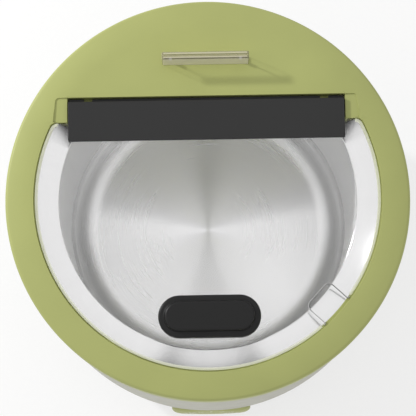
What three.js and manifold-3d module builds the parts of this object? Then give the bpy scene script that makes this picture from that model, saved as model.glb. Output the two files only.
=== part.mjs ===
// Electric soup warmer: a steel pot in a heated well, under a green lid frame with a clear flap.
// Millimetres, +Z up. The origin is the middle of the footprint on the surface it stands on, and
// -Y is the front, where the temperature dial is.

import * as THREE from 'three';
import { mergeVertices } from 'three/addons/utils/BufferGeometryUtils.js';
import Module from 'manifold-3d';

const wasm = await Module();
wasm.setup();

// Driving sizes
const frameRadius = 175;
const lidPlane = 325;
const wellFloorZ = 100;
const waterDepth = 28;
const dialRadius = 39;

// Clearances
const seatGap = 0.3;
const boltGap = 0.3;
const turnGap = 0.6;
const overrun = 2;

// Facets
const frameSides = 60;
const bodySides = 48;
const wellSides = 40;
const coverSides = 36;
const midSides = 20;
const boreSides = 12;
const screwSides = 8;

// Lid frame, with heights counted from its top face
const frameWall = 3;
const frameEdgeRadius = 3.5;
const frameCrownRadius = 100;
const frameCrownTurn = 14 / 180 * Math.PI;
const skirtHeight = 26;
const rimWidth = 24.8;
const rebateDepth = 4.5;
const ledgeWidth = 2.7;
const ledgeThickness = 3;
const landWidth = 11.8;
const chordShare = 0.3857;
const openingCornerRadius = 7;
const recessDepth = 1.3;
const recessInset = 1.1;
const recessTaper = 2.1;
const recessWidth = 21.7;
const recessCornerRadius = 3;
const troughWall = 2;
const rebateRadius = frameRadius - rimWidth;
const landOuterRadius = rebateRadius + landWidth;
const chordY = frameRadius * chordShare;
const recessFrontHalf = Math.sqrt(rebateRadius ** 2 - chordY ** 2) - recessInset;
const recessBackHalf = recessFrontHalf - recessTaper;
const recessBackY = chordY + recessWidth;
const ledgeInnerRadius = rebateRadius - ledgeWidth;
const landDepth = rebateDepth + ledgeThickness;

// Hinge: the rear of the bar is a barrel round two short pins, held by two lugs in a hidden trough
const barInset = 13.2;
const barLap = 17.3;
const barRise = 1.8;
const barBackGap = 0.8;
const barSideGap = 0.8;
const barrelRadius = 5;
const pinRadius = 1.5;
const pinLength = 30;
const pinInset = 2;
const lugRadius = 3.2;
const lugWidth = 6;
const lugFootFront = 6;
const lugFootBack = 1;
const barLength = (recessFrontHalf - barInset) * 2;
const barFrontY = chordY - barLap;
const pinBoreRadius = pinRadius + boltGap;
const hingeY = recessBackY - barBackGap - barrelRadius;
const hingeZ = barRise - barrelRadius;
const troughHalf = barLength / 2 + barSideGap;
const troughDepth = barrelRadius + turnGap - hingeZ;
const pinCentre = barLength / 2 - pinInset - pinLength / 2;
const lugLowTurn = -Math.PI / 3;
const lugHighTurn = Math.PI * 1.2;
const slotLowTurn = -Math.PI * 0.8;
const slotHighTurn = Math.PI * 0.15;
const slotReachShare = 1.4;

// Clear flap
const flapThickness = 3;
const flapEdgeGap = 1;
const flapChordGap = 0.7;
const flapTailInset = 2;
const flapRadius = rebateRadius - flapEdgeGap;
const flapUnder = seatGap - rebateDepth;
const flapTop = flapUnder + flapThickness;
const flapTailHalf = barLength / 2 - flapTailInset;
const flapTailBack = hingeY - barrelRadius - turnGap;
const notchDepth = 24.2;
const notchWidth = 28.5;
const notchCornerRadius = 5;
const notchTurn = -42.7 / 180 * Math.PI;
const notchInnerRadius = rebateRadius - notchDepth;

// Clamp strip and the screws that hold bar and flap together
const stripInset = 10;
const stripSetback = 4.8;
const stripDepth = 20;
const stripThickness = 2;
const barScrewSetback = 11.8;
const barScrewInset = 35;
const barScrewInnerShare = 1 / 3;
const barScrewRadius = 1.5;
const barScrewHeadRadius = 2.8;
const barScrewHead = 1.4;
const barScrewBite = 1.9;
const stripLength = barLength - stripInset * 2;
const stripFrontY = barFrontY + stripSetback;
const barScrewY = barFrontY + barScrewSetback;
const barScrewX = barLength / 2 - barScrewInset;
const stripTop = flapUnder - seatGap;
const stripUnder = stripTop - stripThickness;
const barUnder = flapTop + seatGap;

// Knob on the flap
const knobLength = 87.6;
const knobWidth = 36.3;
const knobHeight = 9;
const knobBorder = 5;
const knobRaise = 5;
const knobInset = 46.5;
const knobScrewX = 22;
const knobScrewRadius = 2;
const knobScrewHeadRadius = 3.6;
const knobScrewHead = 2.2;
const knobScrewBite = 7;
const knobY = knobInset - rebateRadius;

// Clear handle that stands on the rear deck
const handleLength = 75.6;
const handleHeight = 21;
const handleThickness = 6.8;
const handleDraft = 0.2;
const handleCorner = 3;
const handleEdge = 1;
const handleWall = 1.8;
const handleEnd = 12;
const handleSetback = 31.1;
const handleScrewInset = 7.3;
const handleScrewRadius = 1.5;
const handleScrewHeadRadius = 3.2;
const handleScrewHead = 2;
const handleScrewBite = 7;
const handleY = recessBackY + handleSetback;
const handleScrewX = handleLength / 2 - handleScrewInset;

// Seal under the lid frame
const sealInset = 5.8;
const sealWidth = 4;
const potRimDepth = 12;
const sealInnerRadius = rebateRadius + sealInset;
const potRimTop = lidPlane - potRimDepth;

// Casing
const bodyWall = 2.5;
const bodyInset = 2;
const rimGap = 0.6;
const bodyBottom = 14.5;
const bodyBendHeight = 99;
const bodyDrawIn = 26;
const bodyBendTurn = 65 / 180 * Math.PI;
const bodyLipWidth = 35;
const bodyHoleGap = 0.8;
const bodyRadius = frameRadius - bodyInset;
const bodyRimRadius = frameRadius - frameWall - rimGap;
const bodyLipRadius = bodyRadius - bodyLipWidth;
const shoulderZ = lidPlane - skirtHeight - seatGap;

// Well
const wellWall = 1.2;
const wellInset = 19.5;
const wellFlangeInset = 9.4;
const wellCornerRadius = 25;
const studRadius = 3;
const studLength = 19;
const wellRadius = bodyRadius - wellInset;
const wellOuterRadius = wellRadius + wellWall;
const wellFlangeRadius = bodyRimRadius - wellFlangeInset;
const wellUnder = wellFloorZ - wellWall;

// Pot in the well: flat floor, round corner, straight wall, a shallow cove up to the rim
const potWall = 1.2;
const potInset = 22.8;
const potCornerRadius = 26.7;
const coveWidth = 20;
const coveLowTurn = 3 / 180 * Math.PI;
const coveHighTurn = 28 / 180 * Math.PI;
const potRimInset = 6.4;
const potRadius = wellRadius - potInset;
const potRimRadius = bodyRimRadius - potRimInset;
const coveRadius = coveWidth / (Math.sin(coveHighTurn) - Math.sin(coveLowTurn));
const wellFlangeTop = potRimTop - potWall - seatGap;
const bodyRimTop = wellFlangeTop - wellWall - seatGap;

// Dial, its pocket, and the thermostat behind it
const dialLift = 4.5;
const dialProud = 0.6;
const dialThickness = 17.6;
const dialFaceRadius = 29;
const dialEdgeDepth = 5.3;
const dialWall = 3;
const dialBackGap = 1;
const dialSideGap = 1.5;
const hubRadius = 8;
const shaftRadius = 3;
const shaftLength = 34;
const shaftTipInset = 5;
const thermostatWidth = 44;
const thermostatDepth = 28;
const thermostatHeight = 30;
const thermostatScrewX = 15;
const thermostatScrewRadius = 1.6;
const thermostatScrewHeadRadius = 3;
const thermostatScrewHead = 1.8;
const thermostatScrewBite = 8;
const dialZ = bodyBottom + dialRadius + dialLift;
const dialFrontY = -bodyRadius - dialProud;
const dialBackY = dialFrontY + dialThickness;
const pocketFloorY = dialBackY + dialBackGap;
const pocketRadius = dialRadius + dialSideGap;
const shaftTipY = dialFrontY + shaftTipInset;
const thermostatFrontY = pocketFloorY + bodyWall + seatGap;

// Pilot lamp beside the dial
const lampTurn = 52 / 180 * Math.PI;
const lampRadius = 4.2;
const lampFlangeRadius = 6.5;
const lampDome = 2.4;
const lampLength = 16;
const lampNutRadius = 7;
const lampNutThickness = 3;

// Cable gland at the rear
const glandZ = 40;
const glandPadRadius = 12;
const glandPadInset = 3.6;
const glandPadDepth = 7.4;
const glandCollarRadius = 9;
const glandReach = 5.2;
const glandRadius = 6;
const glandLength = 14;
const glandBoreRadius = 3.6;
const glandNutRadius = 9.5;
const glandNutThickness = 4;
const glandPadY = bodyRadius - glandPadInset;

// Base plate, feet and their screws
const footHeight = 11.7;
const footRadius = 14;
const footTopRadius = 12.5;
const footInset = 20;
const footCount = 4;
const footBoreRadius = 5.5;
const footBoreDepth = 6;
const footScrewRadius = 2;
const footScrewHeadRadius = 4.4;
const footScrewHead = 3;
const footScrewTail = 3;
const baseLap = 12;
const baseScrewInset = 6;
const baseScrewCount = 4;
const baseScrewRadius = 1.6;
const baseScrewHeadRadius = 3.2;
const baseScrewHead = 2.6;
const baseScrewTail = 3;
const footCircle = bodyLipRadius - footInset;
const baseRadius = bodyLipRadius + baseLap;
const baseScrewCircle = baseRadius - baseScrewInset;
const baseUnder = footHeight + seatGap;
const baseTop = bodyBottom - seatGap;

// Heating element under the well, its clamp and nut
const elementInset = 58.5;
const elementRadius = 4;
const elementGapTurn = 0.2;
const elementLegLength = 16;
const elementBend = 8;
const clampReach = 8;
const clampWidth = 24;
const clampThickness = 3;
const clampNutRadius = 6.5;
const clampNutHeight = 5;
const elementCircle = wellRadius - elementInset;
const clampLength = (elementCircle + clampReach) * 2;
const elementZ = wellUnder - seatGap - elementRadius;
const clampTop = elementZ - elementRadius - seatGap;

// Thermal cut-out and sensing bulb under the well
const cutoutRadius = 9;
const cutoutHeight = 8;
const cutoutShare = 0.505;
const bulbRadius = 3;
const bulbLengthShare = 0.737;
const bulbShare = 0.579;
const capillaryRadius = 1;
const capillaryDrop = 10;
const cutoutX = elementCircle * cutoutShare;
const bulbLength = elementCircle * bulbLengthShare;
const bulbY = -elementCircle * bulbShare;
const bulbZ = wellUnder - seatGap - bulbRadius;

// Insulation round the well
const insulationThickness = 9.5;
const insulationLift = 12;
const insulationTopGap = 5;
const insulationInnerRadius = wellOuterRadius + seatGap;
const insulationBottom = wellFloorZ + insulationLift;

// Terminal block on the base plate
const blockWidth = 50;
const blockDepth = 22;
const blockHeight = 18;
const blockInset = 57;
const blockWellRadius = 3;
const blockWellDepth = 6;
const blockWellPitch = 15;
const blockY = bodyRadius - blockInset;

// Insulated leads
const leadRadius = 1.6;
const leadSides = 6;
const leadSteps = 14;
const leadLaneX = 68;
const leadLaneZ = 24;
const leadPairX = 10;

// Finishes
const green = { color: 0xabb170, roughness: 0.5, metalness: 0 };
const clear = { color: 0xe8efec, roughness: 0.08, metalness: 0, transparent: true, opacity: 0.3 };
const black = { color: 0x3c3c3c, roughness: 0.55, metalness: 0 };
const steel = { color: 0xc9cac8, roughness: 0.3, metalness: 1 };
const darkSteel = { color: 0x8a8c8c, roughness: 0.4, metalness: 1 };
const casing = { color: 0xc9c9ba, roughness: 0.5, metalness: 0 };
const rubber = { color: 0x262626, roughness: 0.85, metalness: 0 };
const silicone = { color: 0xd8d8d2, roughness: 0.7, metalness: 0 };
const wool = { color: 0xd9cda6, roughness: 0.95, metalness: 0 };
const phenolic = { color: 0x4a3a30, roughness: 0.6, metalness: 0 };
const amber = { color: 0xe08a2a, roughness: 0.25, metalness: 0 };
const leadJacket = { color: 0xb0442f, roughness: 0.6, metalness: 0 };

// Solids: a three.js geometry becomes one closed body that can be joined and cut
function solid(shape) {
  if (shape instanceof wasm.Manifold) {
    return shape;
  }
  const bare = shape.clone();
  bare.deleteAttribute('normal');
  bare.deleteAttribute('uv');
  const merged = mergeVertices(bare);
  const corners = merged.index.array;
  const triangles = [];
  for (let i = 0; i < corners.length; i += 3) {
    const [a, b, c] = [corners[i], corners[i + 1], corners[i + 2]];
    if (a !== b && b !== c && c !== a) {
      triangles.push(a, b, c);
    }
  }
  return new wasm.Manifold(new wasm.Mesh({
    numProp: 3,
    vertProperties: new Float32Array(merged.attributes.position.array),
    triVerts: new Uint32Array(triangles),
  }));
}

function join(first, ...others) {
  return others.reduce((sum, next) => sum.add(solid(next)), solid(first));
}

function cut(first, ...tools) {
  return tools.reduce((rest, tool) => rest.subtract(solid(tool)), solid(first));
}

function shared(first, second) {
  return solid(first).intersect(solid(second));
}

function piece(name, shape, finish) {
  const mesh = solid(shape).getMesh();
  const geometry = new THREE.BufferGeometry();
  geometry.setAttribute('position', new THREE.BufferAttribute(mesh.vertProperties, 3));
  geometry.setIndex(new THREE.BufferAttribute(mesh.triVerts, 1));
  geometry.computeVertexNormals();
  const part = new THREE.Mesh(geometry, new THREE.MeshStandardMaterial(finish));
  part.name = name;
  return part;
}

// Points on an arc, both ends included
function arc(x, y, radius, from, to, steps, flat = 1) {
  const points = [];
  for (let i = 0; i <= steps; i += 1) {
    const turn = from + (to - from) * i / steps;
    points.push([x + radius * Math.cos(turn), y + radius * flat * Math.sin(turn)]);
  }
  return points;
}

// A profile of [radius, height] points turned about Z, which starts and ends on the axis or closes
function turned(profile, sides) {
  let area = 0;
  profile.forEach(([r, z], i) => {
    const [nextR, nextZ] = profile[(i + 1) % profile.length];
    area += r * nextZ - nextR * z;
  });
  const ordered = area > 0 ? profile : [...profile].reverse();
  const points = ordered.map(([r, z]) => new THREE.Vector2(r, z));
  const closes = ordered[0][0] > 0;
  if (closes) {
    points.push(points[0].clone());
  }
  const geometry = new THREE.LatheGeometry(points, sides);
  geometry.rotateX(Math.PI / 2);
  return geometry;
}

// An outline of [x, y] points raised from one height to another
function prism(outline, low, high) {
  const shape = new THREE.Shape(outline.map(([x, y]) => new THREE.Vector2(x, y)));
  const geometry = new THREE.ExtrudeGeometry(shape, { depth: high - low, bevelEnabled: false });
  geometry.translate(0, 0, low);
  return geometry;
}

function box(lowX, highX, lowY, highY, lowZ, highZ) {
  const geometry = new THREE.BoxGeometry(highX - lowX, highY - lowY, highZ - lowZ);
  geometry.translate((lowX + highX) / 2, (lowY + highY) / 2, (lowZ + highZ) / 2);
  return geometry;
}

// Round rods along each axis, from one end to the other, through a point of the other two axes
function rodZ(radius, low, high, x = 0, y = 0, sides = boreSides, topRadius = radius) {
  const geometry = new THREE.CylinderGeometry(topRadius, radius, high - low, sides);
  geometry.rotateX(Math.PI / 2);
  geometry.translate(x, y, (low + high) / 2);
  return geometry;
}

function rodX(radius, low, high, y, z, sides = boreSides) {
  const geometry = new THREE.CylinderGeometry(radius, radius, high - low, sides);
  geometry.rotateZ(Math.PI / 2);
  geometry.translate((low + high) / 2, y, z);
  return geometry;
}

function rodY(radius, low, high, x, z, sides = boreSides) {
  const geometry = new THREE.CylinderGeometry(radius, radius, high - low, sides);
  geometry.translate(x, (low + high) / 2, z);
  return geometry;
}

// A profile of [y, z] points drawn out along X
function barX(profile, low, high) {
  const geometry = prism(profile, low, high);
  geometry.rotateY(Math.PI / 2);
  geometry.rotateX(Math.PI / 2);
  return geometry;
}

// A profile of [radius, distance] points turned about an axis that points to the front
function turnedToFront(profile, sides, backY, z) {
  const geometry = turned(profile, sides);
  geometry.rotateX(Math.PI / 2);
  geometry.translate(0, backY, z);
  return geometry;
}

function tube(points, radius, sides, steps) {
  const section = new THREE.Shape(
    arc(0, 0, radius, 0, Math.PI * 2, sides).slice(0, -1).map(([x, y]) => new THREE.Vector2(x, y)),
  );
  const path = new THREE.CatmullRomCurve3(points.map((point) => new THREE.Vector3(...point)));
  return new THREE.ExtrudeGeometry(section, { steps, extrudePath: path, bevelEnabled: false });
}

// A screw with its head's underside at z = 0 and its shank up from there
function screw(radius, headRadius, head, length) {
  return join(
    rodZ(headRadius, -head, 0, 0, 0, screwSides),
    rodZ(radius, -head / 2, length, 0, 0, screwSides),
  );
}

function place(part, x, y, z) {
  part.position.set(x, y, z);
  return part;
}

// A disc cut by the line y = chord, with round corners where the line meets the circle
function chordedDisc(radius, chord, corner, sides) {
  const cornerX = Math.sqrt((radius - corner) ** 2 - (chord - corner) ** 2);
  const turn = Math.atan2(chord - corner, cornerX);
  const steps = 4;
  return [
    ...arc(cornerX, chord - corner, corner, turn, Math.PI / 2, steps),
    ...arc(-cornerX, chord - corner, corner, Math.PI / 2, Math.PI - turn, steps),
    ...arc(0, 0, radius, Math.PI - turn, Math.PI * 2 + turn, sides).slice(1, -1),
  ];
}

// An outline with a half circle at each end of its length
function stadium(length, width) {
  const radius = width / 2;
  const x = length / 2 - radius;
  return [
    ...arc(x, 0, radius, -Math.PI / 2, Math.PI / 2, boreSides),
    ...arc(-x, 0, radius, Math.PI / 2, Math.PI * 1.5, boreSides),
  ];
}

// Lid frame: flat in the middle, gently crowned towards a small round edge
function frameShell() {
  const reach = frameCrownRadius - frameEdgeRadius;
  const edgeX = frameRadius - frameEdgeRadius;
  const edgeZ = reach * Math.cos(frameCrownTurn) - frameCrownRadius;
  const crownX = edgeX - reach * Math.sin(frameCrownTurn);
  const turn = Math.PI / 2 - frameCrownTurn;
  return turned([
    [0, 0],
    ...arc(crownX, -frameCrownRadius, frameCrownRadius, Math.PI / 2, turn, 3),
    ...arc(edgeX, edgeZ, frameEdgeRadius, turn, 0, 3).slice(1),
    [frameRadius, -skirtHeight],
    [frameRadius - frameWall, -skirtHeight],
    ...arc(edgeX, edgeZ, frameEdgeRadius - frameWall, 0, turn, 2),
    ...arc(crownX, -frameCrownRadius, frameCrownRadius - frameWall, turn, Math.PI / 2, 3).slice(1),
    [0, -frameWall],
  ], frameSides);
}

function recessOutline() {
  const slant = Math.atan2(recessFrontHalf - recessBackHalf, recessBackY - chordY);
  const cornerX = recessBackHalf - recessCornerRadius;
  const cornerY = recessBackY - recessCornerRadius;
  return [
    [-recessFrontHalf, chordY],
    [recessFrontHalf, chordY],
    ...arc(cornerX, cornerY, recessCornerRadius, slant, Math.PI / 2, 4),
    ...arc(-cornerX, cornerY, recessCornerRadius, Math.PI / 2, Math.PI - slant, 4),
  ];
}

function hingeLug(x) {
  const outline = [
    [hingeY - lugFootFront, -troughDepth - troughWall / 2],
    [hingeY - lugFootBack, -troughDepth - troughWall / 2],
    ...arc(hingeY, hingeZ, lugRadius, lugLowTurn, lugHighTurn, boreSides),
  ];
  return barX(outline, x - lugWidth / 2, x + lugWidth / 2);
}

function lidFrame() {
  const land = turned([
    [ledgeInnerRadius - overrun, -landDepth],
    [landOuterRadius, -landDepth],
    [landOuterRadius, -frameWall / 2],
    [ledgeInnerRadius - overrun, -frameWall / 2],
  ], frameSides);
  const troughBox = box(
    -troughHalf - troughWall, troughHalf + troughWall,
    chordY - overrun, recessBackY + troughWall,
    -troughDepth - troughWall, -frameWall / 2,
  );
  const shell = cut(
    join(frameShell(), land, troughBox),
    prism(chordedDisc(ledgeInnerRadius, chordY, openingCornerRadius, frameSides), -skirtHeight, overrun),
    prism(chordedDisc(rebateRadius, chordY, openingCornerRadius, frameSides), -rebateDepth, overrun),
    prism(recessOutline(), -recessDepth, overrun),
    box(-troughHalf, troughHalf, chordY - overrun, recessBackY, -troughDepth, overrun),
    rodZ(handleScrewRadius + boltGap, -skirtHeight, overrun, -handleScrewX, handleY),
    rodZ(handleScrewRadius + boltGap, -skirtHeight, overrun, handleScrewX, handleY),
  );
  const lugged = join(shell, hingeLug(-pinCentre), hingeLug(pinCentre));
  return cut(lugged, rodX(pinBoreRadius, -barLength / 2, barLength / 2, hingeY, hingeZ));
}

// Black bar over the flap's rear edge
function lugSlot(x) {
  const reach = barrelRadius * slotReachShare;
  const wedge = [[hingeY, hingeZ], ...arc(hingeY, hingeZ, reach, slotLowTurn, slotHighTurn, boreSides)];
  const low = x - lugWidth / 2 - turnGap;
  const high = x + lugWidth / 2 + turnGap;
  return join(
    barX(wedge, low, high),
    rodX(lugRadius + turnGap, low, high, hingeY, hingeZ, midSides),
  );
}

function barScrewPlaces() {
  return [-barScrewX, -barScrewX * barScrewInnerShare, barScrewX * barScrewInnerShare, barScrewX];
}

function hingeBar() {
  const half = barLength / 2;
  const blank = join(
    rodX(barrelRadius, -half, half, hingeY, hingeZ, midSides),
    box(-half, half, barFrontY, hingeY, barUnder, barRise),
  );
  const boreLength = pinLength + pinInset + seatGap;
  return cut(
    blank,
    lugSlot(-pinCentre),
    lugSlot(pinCentre),
    rodX(pinBoreRadius, -half - overrun, -half + boreLength, hingeY, hingeZ),
    rodX(pinBoreRadius, half - boreLength, half + overrun, hingeY, hingeZ),
    ...barScrewPlaces().map((x) => (
      rodZ(barScrewRadius + boltGap, barUnder - overrun, barUnder + barScrewBite + seatGap, x, barScrewY)
    )),
  );
}

// Clear flap
function ladleNotch() {
  const half = notchWidth / 2;
  const inner = notchInnerRadius + notchCornerRadius;
  const outline = [
    ...arc(inner, -half + notchCornerRadius, notchCornerRadius, Math.PI, Math.PI * 1.5, 4),
    [rebateRadius + overrun, -half],
    [rebateRadius + overrun, half],
    ...arc(inner, half - notchCornerRadius, notchCornerRadius, Math.PI / 2, Math.PI, 4),
  ];
  const notch = prism(outline, flapUnder - overrun, flapTop + overrun);
  notch.rotateZ(notchTurn);
  return notch;
}

function clearFlap() {
  const chord = chordY - flapChordGap;
  const disc = prism(chordedDisc(flapRadius, chord, openingCornerRadius, frameSides), flapUnder, flapTop);
  const tail = box(-flapTailHalf, flapTailHalf, barFrontY, flapTailBack, flapUnder, flapTop);
  return cut(
    join(disc, tail),
    ladleNotch(),
    ...barScrewPlaces().map((x) => (
      rodZ(barScrewRadius + boltGap, flapUnder - overrun, flapTop + overrun, x, barScrewY)
    )),
    rodZ(knobScrewRadius + boltGap, flapUnder - overrun, flapTop + overrun, -knobScrewX, knobY),
    rodZ(knobScrewRadius + boltGap, flapUnder - overrun, flapTop + overrun, knobScrewX, knobY),
  );
}

function clampStrip() {
  const half = stripLength / 2;
  return cut(
    box(-half, half, stripFrontY, stripFrontY + stripDepth, stripUnder, stripTop),
    ...barScrewPlaces().map((x) => (
      rodZ(barScrewRadius + boltGap, stripUnder - overrun, stripTop + overrun, x, barScrewY)
    )),
  );
}

function lidKnob() {
  const low = flapTop + seatGap;
  const raised = stadium(knobLength - knobBorder * 2, knobWidth - knobBorder * 2);
  const blank = join(
    prism(stadium(knobLength, knobWidth), low, low + knobHeight),
    prism(raised, low + knobHeight / 2, low + knobHeight + knobRaise),
  );
  const bores = [-knobScrewX, knobScrewX].map((x) => (
    rodZ(knobScrewRadius + boltGap, low - overrun, low + knobScrewBite + seatGap, x, 0)
  ));
  return cut(blank, ...bores);
}

function frameHandle() {
  const half = handleLength / 2;
  const base = handleThickness / 2;
  const shoulder = base - handleDraft;
  const steps = 3;
  const section = barX([
    [-base, seatGap],
    [base, seatGap],
    ...arc(shoulder - handleEdge, handleHeight - handleEdge, handleEdge, 0, Math.PI / 2, steps),
    ...arc(handleEdge - shoulder, handleHeight - handleEdge, handleEdge, Math.PI / 2, Math.PI, steps),
  ], -half, half);
  const side = prism([
    [-half, -overrun],
    [half, -overrun],
    ...arc(half - handleCorner, handleHeight - handleCorner, handleCorner, 0, Math.PI / 2, steps * 2),
    ...arc(handleCorner - half, handleHeight - handleCorner, handleCorner, Math.PI / 2, Math.PI, steps * 2),
  ], -handleThickness, handleThickness);
  side.rotateX(Math.PI / 2);
  const hollow = box(
    handleEnd - half, half - handleEnd, handleWall - base, base - handleWall, -overrun, handleHeight - handleWall,
  );
  const bores = [-handleScrewX, handleScrewX].map((x) => (
    rodZ(handleScrewRadius + boltGap, -overrun, handleScrewBite + seatGap, x, 0)
  ));
  return cut(shared(section, side), hollow, ...bores);
}

function frameSeal() {
  const low = seatGap - potRimDepth;
  const high = -landDepth - seatGap;
  return turned([
    [sealInnerRadius, low],
    [sealInnerRadius + sealWidth, low],
    [sealInnerRadius + sealWidth, high],
    [sealInnerRadius, high],
  ], bodySides);
}

function lidGroup() {
  const group = new THREE.Group();
  group.position.z = lidPlane;
  group.add(
    piece('lid_frame', lidFrame(), green),
    piece('frame_seal', frameSeal(), silicone),
    place(piece('frame_handle', frameHandle(), clear), 0, handleY, 0),
    piece('clear_lid', clearFlap(), clear),
    piece('hinge_bar', hingeBar(), black),
    piece('clamp_strip', clampStrip(), darkSteel),
    place(piece('lid_knob', lidKnob(), black), 0, knobY, 0),
  );
  const sides = [['left', -1], ['right', 1]];
  sides.forEach(([side, sign]) => {
    const pin = rodX(pinRadius, -pinLength / 2, pinLength / 2, 0, 0);
    const handleScrew = screw(
      handleScrewRadius, handleScrewHeadRadius, handleScrewHead, frameWall + handleScrewBite + seatGap,
    );
    const knobScrew = screw(
      knobScrewRadius, knobScrewHeadRadius, knobScrewHead, flapThickness + knobScrewBite + seatGap,
    );
    const pinPiece = piece(`hinge_pin_${side}`, pin, steel);
    const handleScrewPiece = piece(`handle_screw_${side}`, handleScrew, darkSteel);
    const knobScrewPiece = piece(`knob_screw_${side}`, knobScrew, darkSteel);
    group.add(
      place(pinPiece, sign * pinCentre, hingeY, hingeZ),
      place(handleScrewPiece, sign * handleScrewX, handleY, -frameWall - seatGap),
      place(knobScrewPiece, sign * knobScrewX, knobY, flapUnder - seatGap),
    );
  });
  barScrewPlaces().forEach((x, i) => {
    const reach = barUnder + barScrewBite - stripUnder + seatGap;
    const barScrew = screw(barScrewRadius, barScrewHeadRadius, barScrewHead, reach);
    group.add(place(piece(`bar_screw_${i + 1}`, barScrew, darkSteel), x, barScrewY, stripUnder - seatGap));
  });
  return group;
}

// Pot and well
function soupPot() {
  const floor = wellFloorZ + waterDepth;
  const flat = potRadius - potCornerRadius;
  const bend = floor + potCornerRadius;
  const coveX = potRadius - coveRadius * Math.sin(coveLowTurn);
  const coveZ = potRimTop + coveRadius * Math.cos(coveHighTurn);
  const outerCove = coveRadius + potWall;
  const outerLowTurn = Math.asin((potRadius + potWall - coveX) / outerCove);
  const outerHighTurn = Math.acos((coveZ - potRimTop + potWall) / outerCove);
  return turned([
    [0, floor],
    ...arc(flat, bend, potCornerRadius, -Math.PI / 2, 0, 4),
    ...arc(coveX, coveZ, coveRadius, coveLowTurn - Math.PI / 2, coveHighTurn - Math.PI / 2, 3),
    [potRimRadius, potRimTop],
    [potRimRadius, potRimTop - potWall],
    ...arc(coveX, coveZ, outerCove, outerHighTurn - Math.PI / 2, outerLowTurn - Math.PI / 2, 3),
    ...arc(flat, bend, potCornerRadius + potWall, 0, -Math.PI / 2, 4),
    [0, floor - potWall],
  ], bodySides);
}

function innerWell() {
  const bend = wellFloorZ + wellCornerRadius;
  const flat = wellRadius - wellCornerRadius;
  const vessel = turned([
    [0, wellFloorZ],
    ...arc(flat, bend, wellCornerRadius, -Math.PI / 2, 0, 4),
    [wellRadius, wellFlangeTop],
    [wellFlangeRadius, wellFlangeTop],
    [wellFlangeRadius, wellFlangeTop - wellWall],
    [wellOuterRadius, wellFlangeTop - wellWall],
    ...arc(flat, bend, wellCornerRadius + wellWall, 0, -Math.PI / 2, 4),
    [0, wellUnder],
  ], wellSides);
  return join(vessel, rodZ(studRadius, wellUnder - studLength, wellUnder + wellWall / 2));
}

function insulation() {
  const high = bodyRimTop - bodyWall - insulationTopGap;
  return turned([
    [insulationInnerRadius, insulationBottom],
    [insulationInnerRadius + insulationThickness, insulationBottom],
    [insulationInnerRadius + insulationThickness, high],
    [insulationInnerRadius, high],
  ], wellSides);
}

// Casing: straight wall, drawn in at the foot along part of an ellipse
function bendPoints(inset, steps) {
  const centre = bodyRadius - bodyDrawIn;
  const drop = (bodyBendHeight - bodyBottom) / Math.sin(bodyBendTurn);
  const width = bodyDrawIn - inset;
  const low = inset > 0 ? Math.asin((bodyBendHeight - bodyBottom - inset) / drop) : bodyBendTurn;
  return arc(centre, bodyBendHeight, width, -low, 0, steps, drop / width);
}

// Casing radius and outward tilt at a height on the drawn-in foot
function casingAt(z) {
  const drop = (bodyBendHeight - bodyBottom) / Math.sin(bodyBendTurn);
  const turn = Math.asin((bodyBendHeight - z) / drop);
  return {
    radius: bodyRadius - bodyDrawIn + bodyDrawIn * Math.cos(turn),
    tilt: Math.atan2(bodyDrawIn * Math.sin(turn), drop * Math.cos(turn)),
  };
}

function outerBody() {
  const outer = [
    ...bendPoints(0, 4),
    [bodyRadius, shoulderZ],
    [bodyRimRadius, shoulderZ],
    [bodyRimRadius, bodyRimTop],
  ];
  const inner = [
    [wellOuterRadius + bodyHoleGap, bodyRimTop],
    [wellOuterRadius + bodyHoleGap, bodyRimTop - bodyWall],
    [bodyRimRadius - bodyWall, bodyRimTop - bodyWall],
    [bodyRimRadius - bodyWall, shoulderZ - bodyWall / 2],
    [bodyRadius - bodyWall, shoulderZ - bodyWall * 2],
    ...bendPoints(bodyWall, 4).reverse(),
    [bodyLipRadius, bodyBottom + bodyWall],
    [bodyLipRadius, bodyBottom],
  ];
  const shell = turned([...outer, ...inner], bodySides);
  const filled = turned([[0, bodyBottom], ...outer, [0, bodyRimTop]], bodySides);
  const cup = shared(
    filled,
    rodY(pocketRadius + bodyWall, -frameRadius, pocketFloorY + bodyWall, 0, dialZ, coverSides),
  );
  const pad = rodY(glandPadRadius, glandPadY - glandPadDepth, glandPadY, 0, glandZ, midSides);
  const lampSpot = casingAt(dialZ);
  const lampHole = rodY(lampRadius + boltGap, -lampLength, lampLength, 0, 0);
  lampHole.rotateX(lampSpot.tilt);
  lampHole.translate(0, -lampSpot.radius, dialZ);
  lampHole.rotateZ(lampTurn);
  const screwHoles = [-thermostatScrewX, thermostatScrewX].map((x) => (
    rodY(thermostatScrewRadius + boltGap, pocketFloorY - overrun, pocketFloorY + bodyWall + overrun, x, dialZ)
  ));
  return cut(
    join(shell, cup, pad),
    rodY(pocketRadius, -frameRadius - overrun, pocketFloorY, 0, dialZ, coverSides),
    rodY(shaftRadius + turnGap, pocketFloorY - overrun, pocketFloorY + bodyWall + overrun, 0, dialZ),
    rodY(glandRadius + boltGap, glandPadY - glandPadDepth - overrun, glandPadY + overrun, 0, glandZ),
    lampHole,
    ...screwHoles,
    ...around(baseScrewCount, baseScrewCircle, 0).map(([x, y]) => (
      rodZ(baseScrewRadius + boltGap, bodyBottom - overrun, bodyBottom + bodyWall + overrun, x, y)
    )),
  );
}

// Places spread evenly round a circle
function around(count, radius, start) {
  return Array.from({ length: count }, (_, i) => {
    const turn = start + Math.PI * 2 * i / count;
    return [radius * Math.cos(turn), radius * Math.sin(turn)];
  });
}

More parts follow.
